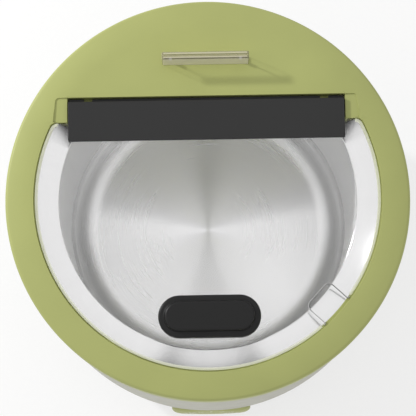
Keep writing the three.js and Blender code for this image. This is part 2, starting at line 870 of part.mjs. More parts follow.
function basePlate() {
  const holes = [
    ...around(baseScrewCount, baseScrewCircle, 0).map(([x, y]) => (
      rodZ(baseScrewRadius + boltGap, baseUnder - overrun, baseTop + overrun, x, y)
    )),
    ...around(footCount, footCircle, Math.PI / 4).map(([x, y]) => (
      rodZ(footScrewRadius + boltGap, baseUnder - overrun, baseTop + overrun, x, y)
    )),
  ];
  return cut(rodZ(baseRadius, baseUnder, baseTop, 0, 0, wellSides), ...holes);
}

function rubberFoot() {
  return cut(
    rodZ(footRadius, 0, footHeight, 0, 0, midSides, footTopRadius),
    rodZ(footBoreRadius, -overrun, footBoreDepth),
    rodZ(footScrewRadius + boltGap, -overrun, footHeight + overrun),
  );
}

function casingGroup() {
  const group = new THREE.Group();
  group.add(
    piece('outer_body', outerBody(), casing),
    piece('inner_well', innerWell(), steel),
    piece('insulation', insulation(), wool),
    piece('base_plate', basePlate(), darkSteel),
  );
  around(footCount, footCircle, Math.PI / 4).forEach(([x, y], i) => {
    const under = footBoreDepth - seatGap;
    const reach = baseTop + footScrewTail - under;
    const footScrew = screw(footScrewRadius, footScrewHeadRadius, footScrewHead, reach);
    group.add(
      place(piece(`foot_${i + 1}`, rubberFoot(), rubber), x, y, 0),
      place(piece(`foot_screw_${i + 1}`, footScrew, darkSteel), x, y, under),
    );
  });
  around(baseScrewCount, baseScrewCircle, 0).forEach(([x, y], i) => {
    const reach = bodyBottom + bodyWall + baseScrewTail - baseUnder;
    const baseScrew = screw(baseScrewRadius, baseScrewHeadRadius, baseScrewHead, reach);
    group.add(place(piece(`base_screw_${i + 1}`, baseScrew, darkSteel), x, y, baseUnder - seatGap));
  });
  return group;
}

// Dial, shaft, thermostat and lamp
function temperatureDial() {
  const rim = dialThickness - dialEdgeDepth;
  const web = dialThickness - dialWall;
  const edge = dialRadius - dialFaceRadius;
  const bore = shaftRadius + boltGap;
  const boreEnd = dialThickness - shaftTipInset + seatGap;
  return turnedToFront([
    [0, dialThickness],
    ...arc(dialFaceRadius, rim, edge, Math.PI / 2, 0, 4, dialEdgeDepth / edge),
    [dialRadius, 0],
    [dialRadius - dialWall, 0],
    [dialRadius - dialWall, rim - dialWall],
    [dialFaceRadius - dialWall, web],
    [hubRadius, web],
    [hubRadius, dialBackGap],
    [bore, dialBackGap],
    [bore, boreEnd],
    [0, boreEnd],
  ], coverSides, dialBackY, dialZ);
}

function thermostat() {
  const back = thermostatFrontY + thermostatDepth;
  const half = thermostatWidth / 2;
  const low = dialZ - thermostatHeight / 2;
  return cut(
    box(-half, half, thermostatFrontY, back, low, low + thermostatHeight),
    rodY(shaftRadius + turnGap, thermostatFrontY - overrun, shaftTipY + shaftLength + seatGap, 0, dialZ),
    ...[-thermostatScrewX, thermostatScrewX].map((x) => (
      rodY(
        thermostatScrewRadius + boltGap, thermostatFrontY - overrun,
        thermostatFrontY + thermostatScrewBite + seatGap, x, dialZ,
      )
    )),
  );
}

function lampParts() {
  const spot = casingAt(dialZ);
  const lens = join(
    turnedToFront([
      [0, -lampLength],
      [lampRadius, -lampLength],
      [lampRadius, seatGap],
      [lampFlangeRadius, seatGap],
      ...arc(0, seatGap, lampFlangeRadius, Math.PI / 10, Math.PI / 2, 4, lampDome / lampFlangeRadius),
    ], midSides, 0, 0),
  );
  const nutFront = -bodyWall - seatGap * 2;
  const nut = turnedToFront([
    [lampRadius + boltGap, nutFront],
    [lampNutRadius, nutFront],
    [lampNutRadius, nutFront - lampNutThickness],
    [lampRadius + boltGap, nutFront - lampNutThickness],
  ], boreSides, 0, 0);
  const seat = new THREE.Group();
  seat.position.set(0, -spot.radius, dialZ);
  seat.rotation.x = spot.tilt;
  seat.add(piece('pilot_lamp', lens, amber), piece('lamp_nut', nut, darkSteel));
  const turn = new THREE.Group();
  turn.rotation.z = lampTurn;
  turn.add(seat);
  return turn;
}

function controlGroup() {
  const group = new THREE.Group();
  const shaft = rodY(shaftRadius, shaftTipY, shaftTipY + shaftLength, 0, dialZ);
  group.add(
    piece('temperature_dial', temperatureDial(), green),
    piece('thermostat_shaft', shaft, steel),
    piece('thermostat', thermostat(), phenolic),
    lampParts(),
  );
  [['left', -1], ['right', 1]].forEach(([side, sign]) => {
    const reach = bodyWall + thermostatScrewBite + seatGap;
    const shape = join(
      rodY(thermostatScrewHeadRadius, -thermostatScrewHead, 0, 0, 0, screwSides),
      rodY(thermostatScrewRadius, -thermostatScrewHead / 2, reach, 0, 0, screwSides),
    );
    const part = piece(`thermostat_screw_${side}`, shape, darkSteel);
    group.add(place(part, sign * thermostatScrewX, pocketFloorY - seatGap, dialZ));
  });
  return group;
}

// Heating, sensing and wiring under the well
function heatingElement() {
  const steps = 24;
  const start = Math.PI / 2 + elementGapTurn;
  const ring = arc(0, 0, elementCircle, start, start + Math.PI * 2 - elementGapTurn * 2, steps);
  const loop = ring.map(([x, y]) => [x, y, elementZ]);
  const legs = [loop[0], loop[steps]].map(([x, y]) => {
    const inX = x - Math.sign(x) * elementBend;
    return [
      [inX + Math.sign(x) * elementBend / 4, y + elementBend / 4, elementZ - elementBend / 3],
      [inX, y + elementBend / 4, elementZ - elementBend],
      [inX, y + elementBend / 4, elementZ - elementLegLength],
    ];
  });
  return tube([...legs[0].reverse(), ...loop, ...legs[1]], elementRadius, screwSides, steps * 1.5);
}

function elementLeg(sign) {
  const x = elementCircle * Math.sin(elementGapTurn) - elementBend;
  const y = elementCircle * Math.cos(elementGapTurn) + elementBend / 4;
  return [sign * x, y, elementZ - elementLegLength];
}

function sensingBulb() {
  const end = bulbLength / 2;
  const top = dialZ + thermostatHeight / 2 + seatGap;
  const inlet = thermostatFrontY + thermostatDepth / 2;
  const capillary = tube([
    [end - bulbRadius, bulbY, bulbZ],
    [end + bulbRadius * 3, bulbY, bulbZ],
    [end, (bulbY + inlet) / 2, bulbZ - capillaryDrop],
    [0, inlet + bulbRadius, top + capillaryDrop],
    [0, inlet, top],
  ], capillaryRadius, leadSides, leadSteps);
  return join(rodX(bulbRadius, -end, end, bulbY, bulbZ), capillary);
}

function terminalBlock() {
  const low = baseTop + seatGap;
  const top = low + blockHeight;
  const half = blockWidth / 2;
  const wells = [-blockWellPitch, 0, blockWellPitch].map((x) => (
    rodZ(blockWellRadius, top - blockWellDepth, top + overrun, x, blockY)
  ));
  return cut(box(-half, half, blockY - blockDepth / 2, blockY + blockDepth / 2, low, top), ...wells);
}

function leads() {
  const blockFront = blockY - blockDepth / 2 - seatGap;
  const blockTop = baseTop + seatGap * 2 + blockHeight;
  const thermostatBack = thermostatFrontY + thermostatDepth + seatGap;
  const lane = leadLaneX;
  const low = leadLaneZ;
  const legRight = elementLeg(1);
  const legLeft = elementLeg(-1);
  const cutoutUnder = wellUnder - seatGap * 2 - cutoutHeight;
  const tab = cutoutRadius / 2;
  const stub = leadRadius * 3;
  const routes = {
    lead_supply: [
      [-leadPairX, blockFront, low],
      [-leadPairX, blockFront - stub, low],
      [-lane, blockFront / 2, low],
      [-lane, -blockFront / 2, low],
      [-leadPairX, thermostatBack + stub, dialZ],
      [-leadPairX, thermostatBack, dialZ],
    ],
    lead_switched: [
      [leadPairX, thermostatBack, dialZ],
      [leadPairX, thermostatBack + stub, dialZ],
      [lane, -blockFront / 2, dialZ],
      [lane, 0, dialZ],
      [cutoutX - tab, cutoutX, cutoutUnder - stub],
      [cutoutX - tab, cutoutX, cutoutUnder],
    ],
    lead_cutout: [
      [cutoutX + tab, cutoutX, cutoutUnder],
      [cutoutX + tab, cutoutX, cutoutUnder - stub],
      [cutoutX, (cutoutX + legRight[1]) / 2, legRight[2] - stub * 2],
      [legRight[0], legRight[1], legRight[2] - stub],
      [legRight[0], legRight[1], legRight[2] - seatGap],
    ],
    lead_return: [
      [legLeft[0], legLeft[1], legLeft[2] - seatGap],
      [legLeft[0], legLeft[1], legLeft[2] - stub],
      [-blockWellPitch / 2, blockY, blockTop + stub],
      [-blockWellPitch / 2, blockY, blockTop],
    ],
  };
  return Object.entries(routes).map(([name, route]) => (
    piece(name, tube(route, leadRadius, leadSides, leadSteps), leadJacket)
  ));
}

function heatingGroup() {
  const group = new THREE.Group();
  const half = clampLength / 2;
  const clamp = cut(
    box(-half, half, -clampWidth / 2, clampWidth / 2, clampTop - clampThickness, clampTop),
    rodZ(studRadius + boltGap, clampTop - clampThickness - overrun, clampTop + overrun),
  );
  const nutTop = clampTop - clampThickness - seatGap;
  const nut = cut(
    rodZ(clampNutRadius, nutTop - clampNutHeight, nutTop, 0, 0, 6),
    rodZ(studRadius + boltGap, nutTop - clampNutHeight - overrun, nutTop + overrun),
  );
  const cutoutTop = wellUnder - seatGap;
  const collarEnd = glandPadY + seatGap;
  const gland = cut(
    join(
      rodY(glandCollarRadius, collarEnd, glandPadY + glandReach, 0, glandZ, midSides),
      rodY(glandRadius, glandPadY - glandLength, glandPadY + glandReach / 2, 0, glandZ, midSides),
    ),
    rodY(glandBoreRadius, glandPadY - glandLength - overrun, frameRadius + overrun, 0, glandZ),
  );
  const glandNutEnd = glandPadY - glandPadDepth - seatGap;
  const glandNutStart = glandNutEnd - glandNutThickness;
  const glandNut = cut(
    rodY(glandNutRadius, glandNutStart, glandNutEnd, 0, glandZ, 6),
    rodY(glandRadius + boltGap, glandNutStart - overrun, glandNutEnd + overrun, 0, glandZ, midSides),
  );
  const cutout = rodZ(cutoutRadius, cutoutTop - cutoutHeight, cutoutTop, cutoutX, cutoutX, midSides);
  group.add(
    piece('heating_element', heatingElement(), darkSteel),
    piece('element_clamp', clamp, steel),
    piece('clamp_nut', nut, darkSteel),
    piece('thermal_cutout', cutout, phenolic),
    piece('sensing_bulb', sensingBulb(), steel),
    piece('terminal_block', terminalBlock(), silicone),
    piece('power_inlet', gland, black),
    piece('gland_nut', glandNut, black),
    ...leads(),
  );
  return group;
}

const soupWarmer = new THREE.Group();
soupWarmer.add(
  lidGroup(),
  piece('soup_pot', soupPot(), steel),
  casingGroup(),
  controlGroup(),
  heatingGroup(),
);

export default soupWarmer;
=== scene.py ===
"""Looks of the electric soup warmer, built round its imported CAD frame. Lengths are millimetres in the
source and become metres in the mesh helpers. The origin is the middle of the footprint, -Y is the front."""

import math

import bmesh
import bpy
from mathutils import Matrix, Vector

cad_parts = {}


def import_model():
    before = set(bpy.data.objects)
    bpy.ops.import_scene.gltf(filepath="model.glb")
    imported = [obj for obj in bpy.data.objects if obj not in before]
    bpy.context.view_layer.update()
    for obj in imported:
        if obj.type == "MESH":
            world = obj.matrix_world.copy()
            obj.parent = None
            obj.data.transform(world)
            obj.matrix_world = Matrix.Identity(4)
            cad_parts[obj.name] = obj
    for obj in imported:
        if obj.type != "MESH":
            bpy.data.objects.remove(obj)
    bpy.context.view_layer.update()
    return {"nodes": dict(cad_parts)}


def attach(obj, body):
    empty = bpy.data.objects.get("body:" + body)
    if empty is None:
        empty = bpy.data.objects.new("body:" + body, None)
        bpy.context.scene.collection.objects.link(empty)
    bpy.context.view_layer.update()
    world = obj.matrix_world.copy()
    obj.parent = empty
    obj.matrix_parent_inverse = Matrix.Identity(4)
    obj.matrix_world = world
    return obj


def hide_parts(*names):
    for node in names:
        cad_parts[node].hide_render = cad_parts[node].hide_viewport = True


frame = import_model()
NODES = frame["nodes"]

MM = 0.001
TINY = 1e-6
TURN = 2 * math.pi
FINE = 256
MEDIUM = 128
COARSE = 64
SHARP_ANGLE = math.radians(34)

# Lid frame, heights counted from the lid plane
LID_PLANE = 325
FRAME_RADIUS = 175
FRAME_EDGE = 3.5
FRAME_CROWN = 100
FRAME_CROWN_TURN = math.radians(14)
FRAME_WALL = 3
SKIRT = 26
REBATE_RADIUS = 150.2
REBATE_DEPTH = 4.5
LEDGE_RADIUS = 147.5
LAND_DEPTH = 7.5
LAND_RADIUS = 162
CHORD_Y = 67.4975
OPENING_CORNER = 7
RECESS_DEPTH = 1.3
RECESS_FRONT_HALF = 133.08
RECESS_BACK_HALF = 130.98
RECESS_BACK_Y = 89.2
RECESS_CORNER = 3
TROUGH_HALF = 120.68
TROUGH_DEPTH = 8.8
TROUGH_WALL = 2
FRAME_ROUND = 0.35
SKIRT_ROUND = 1.2
OVERLAP = 2
SEAL_INNER = 156
SEAL_OUTER = 160
SEAL_LOW = -11.7
SEAL_GAP = 0.3

# Hinge bar and flap
HINGE_Y = 83.4
HINGE_Z = -3.2
BARREL_RADIUS = 5
BAR_HALF = 119.88
BAR_FRONT_Y = 50.2
BAR_TOP = 1.8
BAR_UNDER = -0.9
BAR_GROOVE_Y = 85.1
BAR_GROOVE_Z = -4.4
BAR_EDGE = 0.6
LUG_X = 102.88
LUG_WIDTH = 6
LUG_RADIUS = 2.4
LUG_GAP = 0.6
LUG_FOOT_FRONT = 6
LUG_FOOT_REAR = 1
SLOT_REACH = 7
SLOT_START = -0.8 * math.pi
SLOT_END = 0.15 * math.pi
FLAP_RADIUS = 149.2
FLAP_UNDER = -4.2
FLAP_TOP = -1.2
FLAP_CHORD = 66.8
FLAP_LIP = 2.6
FLAP_CUT = 0.45
NOTCH_LIP = 0.8
FLAP_TAIL_HALF = 117.88
FLAP_TAIL_BACK = 77.8
NOTCH_RADIUS = 126
NOTCH_WIDTH = 28.5
NOTCH_CORNER = 5
NOTCH_TURN = math.radians(-42.7)
NOTCH_MOUTH = 2.5
NOTCH_MOUTH_ROUND = 1.5

# Knob and handle
KNOB_LENGTH = 87.6
KNOB_WIDTH = 36.3
KNOB_HEIGHT = 9
KNOB_BORDER = 5
KNOB_RAISE = 5
KNOB_Y = -103.7
KNOB_UNDER = -0.9
KNOB_FOOT_ROUND = 0.4
KNOB_SLOPE = 0.5
KNOB_CROWN = 8
HANDLE_HALF = 37.8
HANDLE_HEIGHT = 21
HANDLE_THICKNESS = 6.8
HANDLE_CORNER = 3
HANDLE_EDGE = 1.3
HANDLE_FOOT = 0.3
RIDGE_GAP = 0.05
HANDLE_Y = 120.3

# Pot, well and casing, heights from the ground
POT_FLOOR = 128
POT_RADIUS = 130.7
POT_CORNER = 26.7
POT_WALL = 1.2
POT_RIM_RADIUS = 165
POT_RIM = 313
BEAD = 1.1
COVE_WIDTH = 20
COVE_LOW_TURN = math.radians(3)
COVE_HIGH_TURN = math.radians(28)
WELL_FLOOR = 100
WELL_RADIUS = 153.5
WELL_WALL = 1.2
WELL_CORNER = 25
WELL_RIM_RADIUS = 162
WELL_RIM = 311.5
WELL_GAP = 0.8
STUD_RADIUS = 3
STUD_LENGTH = 19
STUD_CHAMFER = 0.4
BODY_RADIUS = 173
BODY_RIM_RADIUS = 171.4
BODY_RIM = 310
BODY_WALL = 2.5
BODY_BOTTOM = 14.5
BODY_BEND = 99
BODY_DRAW = 26
BODY_BEND_TURN = math.radians(65)
BODY_LIP_RADIUS = 138
SHOULDER = 298.7

# Dial, lamp, gland and feet
DIAL_Z = 58
DIAL_RADIUS = 39
DIAL_FACE_RADIUS = 29
DIAL_FRONT_Y = -173.6
DIAL_BACK_Y = -156
DIAL_EDGE = 5.3
DIAL_WALL = 3
DIAL_BOSS_RADIUS = 8
DIAL_BOSS_LOW = 1
DIAL_BORE = 3.3
DIAL_BORE_ROOF = 4.7
NUMBERS = 11
NUMBER_START = -135
NUMBER_STEP = 27
NUMBER_SIZE = 6.4
NUMBER_DEPTH = 0.12
NUMBER_RADIUS = 20.2
NUMBER_LIFT = 0.1
TICK_HALF = 0.5
TICK_INNER = 24.6
TICK_OUTER = 27.6
TICK_RISE = 0.25
POCKET_RADIUS = 40.5
POCKET_FLOOR_Y = -155
CUTTER_LENGTH = 30
SHAFT_HOLE = 3.6
SHAFT_HOLE_DEPTH = 8
LAMP_TURN = math.radians(52)
LAMP_RADIUS = 4.2
LAMP_FLANGE = 6.5
LAMP_LENGTH = 16
LAMP_SEAT = 0.3
LAMP_RISE = 2.4
LAMP_GAP = 0.3
GLAND_Z = 40
GLAND_PAD_Y = 169.4
GLAND_PAD_RADIUS = 12
GLAND_PAD_DEPTH = 7.4
GLAND_HOLE = 6.3
GLAND_BORE = 3.6
GLAND_THREAD = 6
GLAND_LENGTH = 14
GLAND_SEAT = 0.3
GLAND_COLLAR = 9
GLAND_COLLAR_HEIGHT = 3.4
GLAND_NOSE = 6.8
GLAND_HEIGHT = 5.2
FOOT_RADIUS = 14
FOOT_TOP_RADIUS = 12.5
FOOT_HEIGHT = 11.7
FOOT_CIRCLE = 118
FOOT_BORE = 2.3
FOOT_RECESS = 5.5
FOOT_RECESS_HEIGHT = 6

# Camera, found by fitting the ring, the mouth and the casing's outline in the photograph
IMAGE_WIDTH = 416
CAMERA_TILT = math.radians(9.5)
CAMERA_DISTANCE = 1500
FOCAL_PIXELS = 1742
SENSOR_WIDTH = 36
CAMERA_AIM = (0.1, -9.8)
CAMERA_ROLL = math.radians(-0.95)

# Light: the world's strength on the object, low in reflections and in their greyer strip; the spans
# are parts of a unit direction
SKY_LIGHT = 0.7
SKY_LOW = 0.7
SKY_MIDDLE = 0.55
SKY_GAP = 0.12
SKY_RISE = (0.1, 0.8)
STRIP_FRONT = (-0.65, -0.4)
STRIP_REAR = (-0.1, 0.1)
KEY_AZIMUTH = 151
KEY_ELEVATION = 26
KEY_DISTANCE = 2.2
KEY_WIDTH = 0.15
KEY_HEIGHT = 0.16
KEY_POWER = 29
KEY_TARGET = (0, 0, 0.3)
FLOOR_RADIUS = 6
FLOOR_LIFT = 0.65


def linear(red, green, blue):
    """A colour written as it looks on a screen, 0 to 255, as the shader's linear values."""
    def one(level):
        share = level / 255
        return share / 12.92 if share <= 0.04045 else ((share + 0.055) / 1.055) ** 2.4
    return (one(red), one(green), one(blue), 1.0)


# Outlines and profiles

def arc(x, y, radius, start, end, steps, flat=1.0):
    """Points along an arc, which flat squeezes along its second coordinate."""
    points = []
    for i in range(steps + 1):
        turn = start + (end - start) * i / steps
        points.append((x + radius * math.cos(turn), y + radius * flat * math.sin(turn)))
    return points


def rounded(points, steps=5):
    """Corner points (a, b) or (a, b, radius); each corner that has a radius becomes an arc."""
    path = []
    for i, point in enumerate(points):
        here = Vector(point[:2])
        radius = point[2] if len(point) > 2 else 0
        if not radius:
            path.append(tuple(here))
            continue
        before = (Vector(points[i - 1][:2]) - here).normalized()
        after = (Vector(points[(i + 1) % len(points)][:2]) - here).normalized()
        half = before.angle(after) / 2
        centre = here + (before + after).normalized() * (radius / math.sin(half))
        first = here + before * (radius / math.tan(half)) - centre
        last = here + after * (radius / math.tan(half)) - centre
        start = math.atan2(first.y, first.x)
        sweep = (math.atan2(last.y, last.x) - start + math.pi) % TURN - math.pi
        path.extend(arc(centre.x, centre.y, radius, start, start + sweep, steps))
    return path


def inset(outline, distance):
    """The counter-clockwise outline moved inwards by a distance, corner by corner."""
    moved = []
    for i, here in enumerate(outline):
        here = Vector(here)
        before = (here - Vector(outline[i - 1])).normalized()
        after = (Vector(outline[(i + 1) % len(outline)]) - here).normalized()
        left = Vector((-before.y, before.x)) + Vector((-after.y, after.x))
        moved.append(tuple(here + left * (distance / max(1 + before.dot(after), 0.2))))
    return moved


def stadium(length, width):
    radius = width / 2
    x = length / 2 - radius
    return (arc(x, 0, radius, -math.pi / 2, math.pi / 2, 24)
            + arc(-x, 0, radius, math.pi / 2, math.pi * 1.5, 24))


def chorded_disc(radius, chord, corner):
    """A disc cut by the line y = chord, with round corners where they meet."""
    corner_x = math.sqrt((radius - corner) ** 2 - (chord - corner) ** 2)
    turn = math.atan2(chord - corner, corner_x)
    return (arc(corner_x, chord - corner, corner, turn, math.pi / 2, 8)
            + arc(-corner_x, chord - corner, corner, math.pi / 2, math.pi - turn, 8)
            + arc(0, 0, radius, math.pi - turn, TURN + turn, FINE)[1:-1])


# Meshes

def add_object(name, bm, material=None):
    bmesh.ops.remove_doubles(bm, verts=bm.verts, dist=TINY)
    bmesh.ops.recalc_face_normals(bm, faces=bm.faces)
    mesh = bpy.data.meshes.new(name)
    bm.to_mesh(mesh)
    bm.free()
    piece = bpy.data.objects.new(name, mesh)
    bpy.context.scene.collection.objects.link(piece)
    if material:
        mesh.materials.append(material)
    return piece


def turned(name, profile, material=None, segments=FINE):
    """A profile of (radius, height) points turned about Z; it runs from axis to axis, or closes."""
    bm = bmesh.new()
    rings = []
    for radius, height in profile:
        if radius < TINY:
            rings.append([bm.verts.new((0, 0, height * MM))])
            continue
        rings.append([
            bm.verts.new((radius * MM * math.cos(TURN * k / segments),
                          radius * MM * math.sin(TURN * k / segments), height * MM))
            for k in range(segments)
        ])
    pairs = list(zip(rings, rings[1:]))
    if all(len(ring) > 1 for ring in rings):
        pairs.append((rings[-1], rings[0]))
    for low, high in pairs:
        for k in range(segments):
            corners = [low[k % len(low)], low[(k + 1) % len(low)],
                       high[(k + 1) % len(high)], high[k % len(high)]]
            unique = list(dict.fromkeys(corners))
            if len(unique) > 2:
                bm.faces.new(unique)
    return add_object(name, bm, material)


def stacked(name, rings, material=None):
    """Outlines of equal length stacked as (outline, height), skinned, and closed at both ends."""
    bm = bmesh.new()
    loops = [[bm.verts.new((x * MM, y * MM, z * MM)) for x, y in outline] for outline, z in rings]
    count = len(loops[0])
    for low, high in zip(loops, loops[1:]):
        for k in range(count):
            bm.faces.new((low[k], low[(k + 1) % count], high[(k + 1) % count], high[k]))
    bm.faces.new(loops[0][::-1])
    bm.faces.new(loops[-1])
    return add_object(name, bm, material)


def slab(name, outline, low, high, edge=0.0, material=None):
    """A flat piece with rounded top and bottom edges."""
    if not edge:
        return stacked(name, [(outline, low), (outline, high)], material)
    rings = []
    for inward, height in (*arc(edge, low + edge, edge, -math.pi / 2, -math.pi, 4),
                           *arc(edge, high - edge, edge, math.pi, math.pi / 2, 4)):
        rings.append((inset(outline, inward), height))
    return stacked(name, rings, material)


def rod(name, radius, low, high, segments):
    return turned(name, [(0, low), (radius, low), (radius, high), (0, high)], None, segments)


def box_outline(low_x, high_x, low_y, high_y, radius=0.0):
    corners = [(low_x, low_y), (high_x, low_y), (high_x, high_y), (low_x, high_y)]
    return rounded([(x, y, radius) for x, y in corners]) if radius else corners


def across(piece):
    """Turns a piece built up along Z so that its height runs along X and its outline is (y, z)."""
    piece.data.transform(Matrix(((0, 0, 1, 0), (1, 0, 0, 0), (0, 1, 0, 0), (0, 0, 0, 1))))
    return piece


def moved(piece, x=0.0, y=0.0, z=0.0):
    piece.data.transform(Matrix.Translation((x * MM, y * MM, z * MM)))
    return piece


def spun(piece, angle, axis):
    piece.data.transform(Matrix.Rotation(angle, 4, axis))
    return piece


def settled(piece):
    """The piece with its modifiers applied."""
    bpy.context.view_layer.update()
    graph = bpy.context.evaluated_depsgraph_get()
    mesh = bpy.data.meshes.new_from_object(piece.evaluated_get(graph))
    piece.modifiers.clear()
    piece.data = mesh
    return piece


def combined(piece, tools, operation):
    """Joins the tools to the piece or cuts them from it, and removes them."""
    for tool in tools:
        modifier = piece.modifiers.new(operation.lower(), "BOOLEAN")
        modifier.operation = operation
        modifier.solver = "MANIFOLD"
        modifier.object = tool
        settled(piece)
        bpy.data.objects.remove(tool)
    return piece


def joined(piece, *tools):
    return combined(piece, tools, "UNION")


def cut(piece, *tools):
    return combined(piece, tools, "DIFFERENCE")


def edged(piece, width):
    """Rounds the sharp edges."""
    modifier = piece.modifiers.new("edges", "BEVEL")
    modifier.width = width * MM
    modifier.segments = 2
    modifier.limit_method = "ANGLE"
    modifier.angle_limit = SHARP_ANGLE
    modifier.use_clamp_overlap = False
    return settled(piece)


def smoothed(piece, weighted=False):
    """Smooth shading, with a sharp line where two faces meet at more than a small angle."""
    bm = bmesh.new()
    bm.from_mesh(piece.data)
    for face in bm.faces:
        face.smooth = True
    for edge in bm.edges:
        edge.smooth = len(edge.link_faces) != 2 or edge.calc_face_angle(0) < SHARP_ANGLE
    bm.to_mesh(piece.data)
    bm.free()
    if weighted:
        modifier = piece.modifiers.new("normals", "WEIGHTED_NORMAL")
        modifier.keep_sharp = True
        modifier.weight = 50
    return piece


def keep(piece, body, slot, *nodes):
    """Puts a finished piece on its body, for the nodes that it replaces."""
    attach(piece, body)
    if nodes:
        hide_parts(*nodes)
    return piece


# Materials

def add_node(tree, kind, inputs=None, **settings):
    """Adds a node; each input is a value, or a socket that gets linked."""
    made = tree.nodes.new(kind)
    for key, value in settings.items():
        setattr(made, key, value)
    for key, value in (inputs or {}).items():
        fill(tree, made.inputs[key], value)
    return made


def fill(tree, socket, value):
    if isinstance(value, bpy.types.NodeSocket):
        tree.links.new(value, socket)
    else:
        socket.default_value = value


class Shader:
    """A material's node tree with short calls to add and link nodes."""

    def __init__(self, name):
        self.material = bpy.data.materials.new(name)
        self.material.use_nodes = True
        self.tree = self.material.node_tree
        self.surface = self.tree.nodes["Principled BSDF"]

    def node(self, kind, inputs=None, **settings):
        return add_node(self.tree, kind, inputs, **settings)

    def set(self, **values):
        for key, value in values.items():
            fill(self.tree, self.surface.inputs[key.replace("_", " ")], value)

    def place(self):
        return self.node("ShaderNodeTexCoord").outputs["Object"]

    def noise(self, scale, detail, roughness=0.5, vector=None):
        return self.node("ShaderNodeTexNoise", {
            "Vector": vector or self.place(), "Scale": scale, "Detail": detail, "Roughness": roughness,
        }).outputs["Fac"]

    def lined(self, along, scale, detail, roughness=0.5):
        """Noise that changes along one value only."""
        return self.node("ShaderNodeTexNoise", {
            "W": along, "Scale": scale, "Detail": detail, "Roughness": roughness,
        }, noise_dimensions="1D").outputs["Fac"]

    def ranged(self, value, low, high, start=0.0, end=1.0):
        made = self.node("ShaderNodeMapRange", {
            "Value": value, "From Min": start, "From Max": end, "To Min": low, "To Max": high,
        })
        return made.outputs["Result"]

    def around(self, cloud, middle, spread, start=0.3, end=0.7):
        """A value that wanders round a middle as the noise does."""
        return self.ranged(cloud, middle - spread, middle + spread, start, end)

    def blend(self, share, first, second):
        return self.node("ShaderNodeMix", {0: share, 6: first, 7: second}, data_type="RGBA").outputs[2]

    def mottled(self, cloud, colour, change, start=0.3, end=0.7):
        """The colour a little darker and lighter as the noise goes."""
        share = self.ranged(cloud, 0, 1, start, end)
        return self.blend(share, shade(colour, 1 - change), shade(colour, 1 + change))

    def math(self, operation, first, second=0.0):
        return self.node("ShaderNodeMath", {0: first, 1: second}, operation=operation).outputs[0]

    def bump(self, height, distance):
        inputs = {"Height": height, "Distance": distance * MM, "Strength": 1.0}
        return self.node("ShaderNodeBump", inputs).outputs["Normal"]

    def parts(self, vector):
        return self.node("ShaderNodeSeparateXYZ", {"Vector": vector}).outputs

    def mixed(self, share, first, second):
        return self.node("ShaderNodeMixShader", {0: share, 1: first.outputs[0], 2: second.outputs[0]})

    def clear(self, colour):
        return self.node("ShaderNodeBsdfTransparent", {"Color": colour})

    def finish(self, last):
        """Makes the last node the surface."""
        self.tree.links.new(last.outputs[0], self.tree.nodes["Material Output"].inputs["Surface"])
        return self.material


def shade(colour, factor):
    return tuple(channel * factor for channel in colour[:3]) + (1.0,)


def moulded(name, colour, roughness, grain=0.02, grain_scale=1800, gloss=0.5):
    """Moulded plastic or rubber: faint mottling, fine grain and a roughness that wanders."""
    shader = Shader(name)
    shader.set(
        Base_Color=shader.mottled(shader.noise(14, 3), colour, 0.04),
        Roughness=shader.around(shader.noise(35, 4), roughness, 0.06, 0.25, 0.75),
        Specular_IOR_Level=gloss,
        Normal=shader.bump(shader.noise(grain_scale, 3), grain),
    )
    return shader.material


def painted(name, colour, roughness):
    """Sprayed paint with an orange-peel surface."""
    shader = Shader(name)
    shader.set(
        Base_Color=shader.mottled(shader.noise(9, 3), colour, 0.03),
        Roughness=shader.around(shader.noise(60, 3), roughness, 0.05),
        Normal=shader.bump(shader.noise(420, 2), 0.03),
        Coat_Weight=0.15,
        Coat_Roughness=0.25,
    )
    return shader.material


def turned_steel(name, colour, roughness, anisotropy, wall=None, heights=None):
    """Steel brushed on a lathe: fine rings round Z in tone, roughness and relief, and a faint radial fan.
    The wall may be painted darker between four heights, as painted shade: it darkens over the first
    pair and lightens again over the last."""
    shader = Shader(name)
    parts = shader.parts(shader.place())
    flat = shader.node("ShaderNodeCombineXYZ", {"X": parts["X"], "Y": parts["Y"]})
    radius = shader.node("ShaderNodeVectorMath", {0: flat.outputs[0]}, operation="LENGTH").outputs["Value"]
    distance = shader.math("ADD", radius, parts["Z"])
    wide = shader.lined(distance, 420, 5, 0.6)
    fan = shader.lined(shader.math("ARCTAN2", parts["Y"], parts["X"]), 14, 4, 0.7)
    marks = shader.math("MULTIPLY", shader.math("ADD", wide, fan), 0.5)
    tone = shader.mottled(marks, colour, 0.015, 0.35, 0.65)
    # Painted shade: a darker wall colour in a band between the given heights.
    if wall:
        shade_coming = shader.ranged(parts["Z"], 0, 1, heights[0] * MM, heights[1] * MM)
        shade_going = shader.ranged(parts["Z"], 1, 0, heights[2] * MM, heights[3] * MM)
        painted_wall_shade = shader.mottled(shader.noise(25, 4), wall, 0.03, 0, 1)
        tone = shader.blend(shader.math("MINIMUM", shade_coming, shade_going), tone, painted_wall_shade)
    shader.set(
        Base_Color=tone,
        Metallic=1.0,
        Roughness=shader.math("ADD", shader.around(wide, 0, 0.008),
                              shader.around(shader.noise(11, 3), roughness, 0.015)),
        Anisotropic=anisotropy,
        Anisotropic_Rotation=0.25,
        Tangent=shader.node("ShaderNodeTangent", direction_type="RADIAL", axis="Z").outputs["Tangent"],
        Normal=shader.bump(shader.lined(distance, 2500, 3), 0.0015),
    )
    return shader.material


def plain_metal(name, colour, roughness):
    """Polished, plated or rolled metal with faint streaks and smudges."""
    shader = Shader(name)
    stretch = shader.node("ShaderNodeMapping", {"Vector": shader.place(), "Scale": (4, 90, 90)})
    streak = shader.noise(22, 5, 0.6, stretch.outputs[0])
    shader.set(
        Base_Color=shader.mottled(streak, colour, 0.05),
        Metallic=1.0,
        Roughness=shader.ranged(shader.noise(30, 3), roughness * 0.8, roughness * 1.25, 0.3, 0.7),
        Normal=shader.bump(streak, 0.004),
    )
    return shader.material


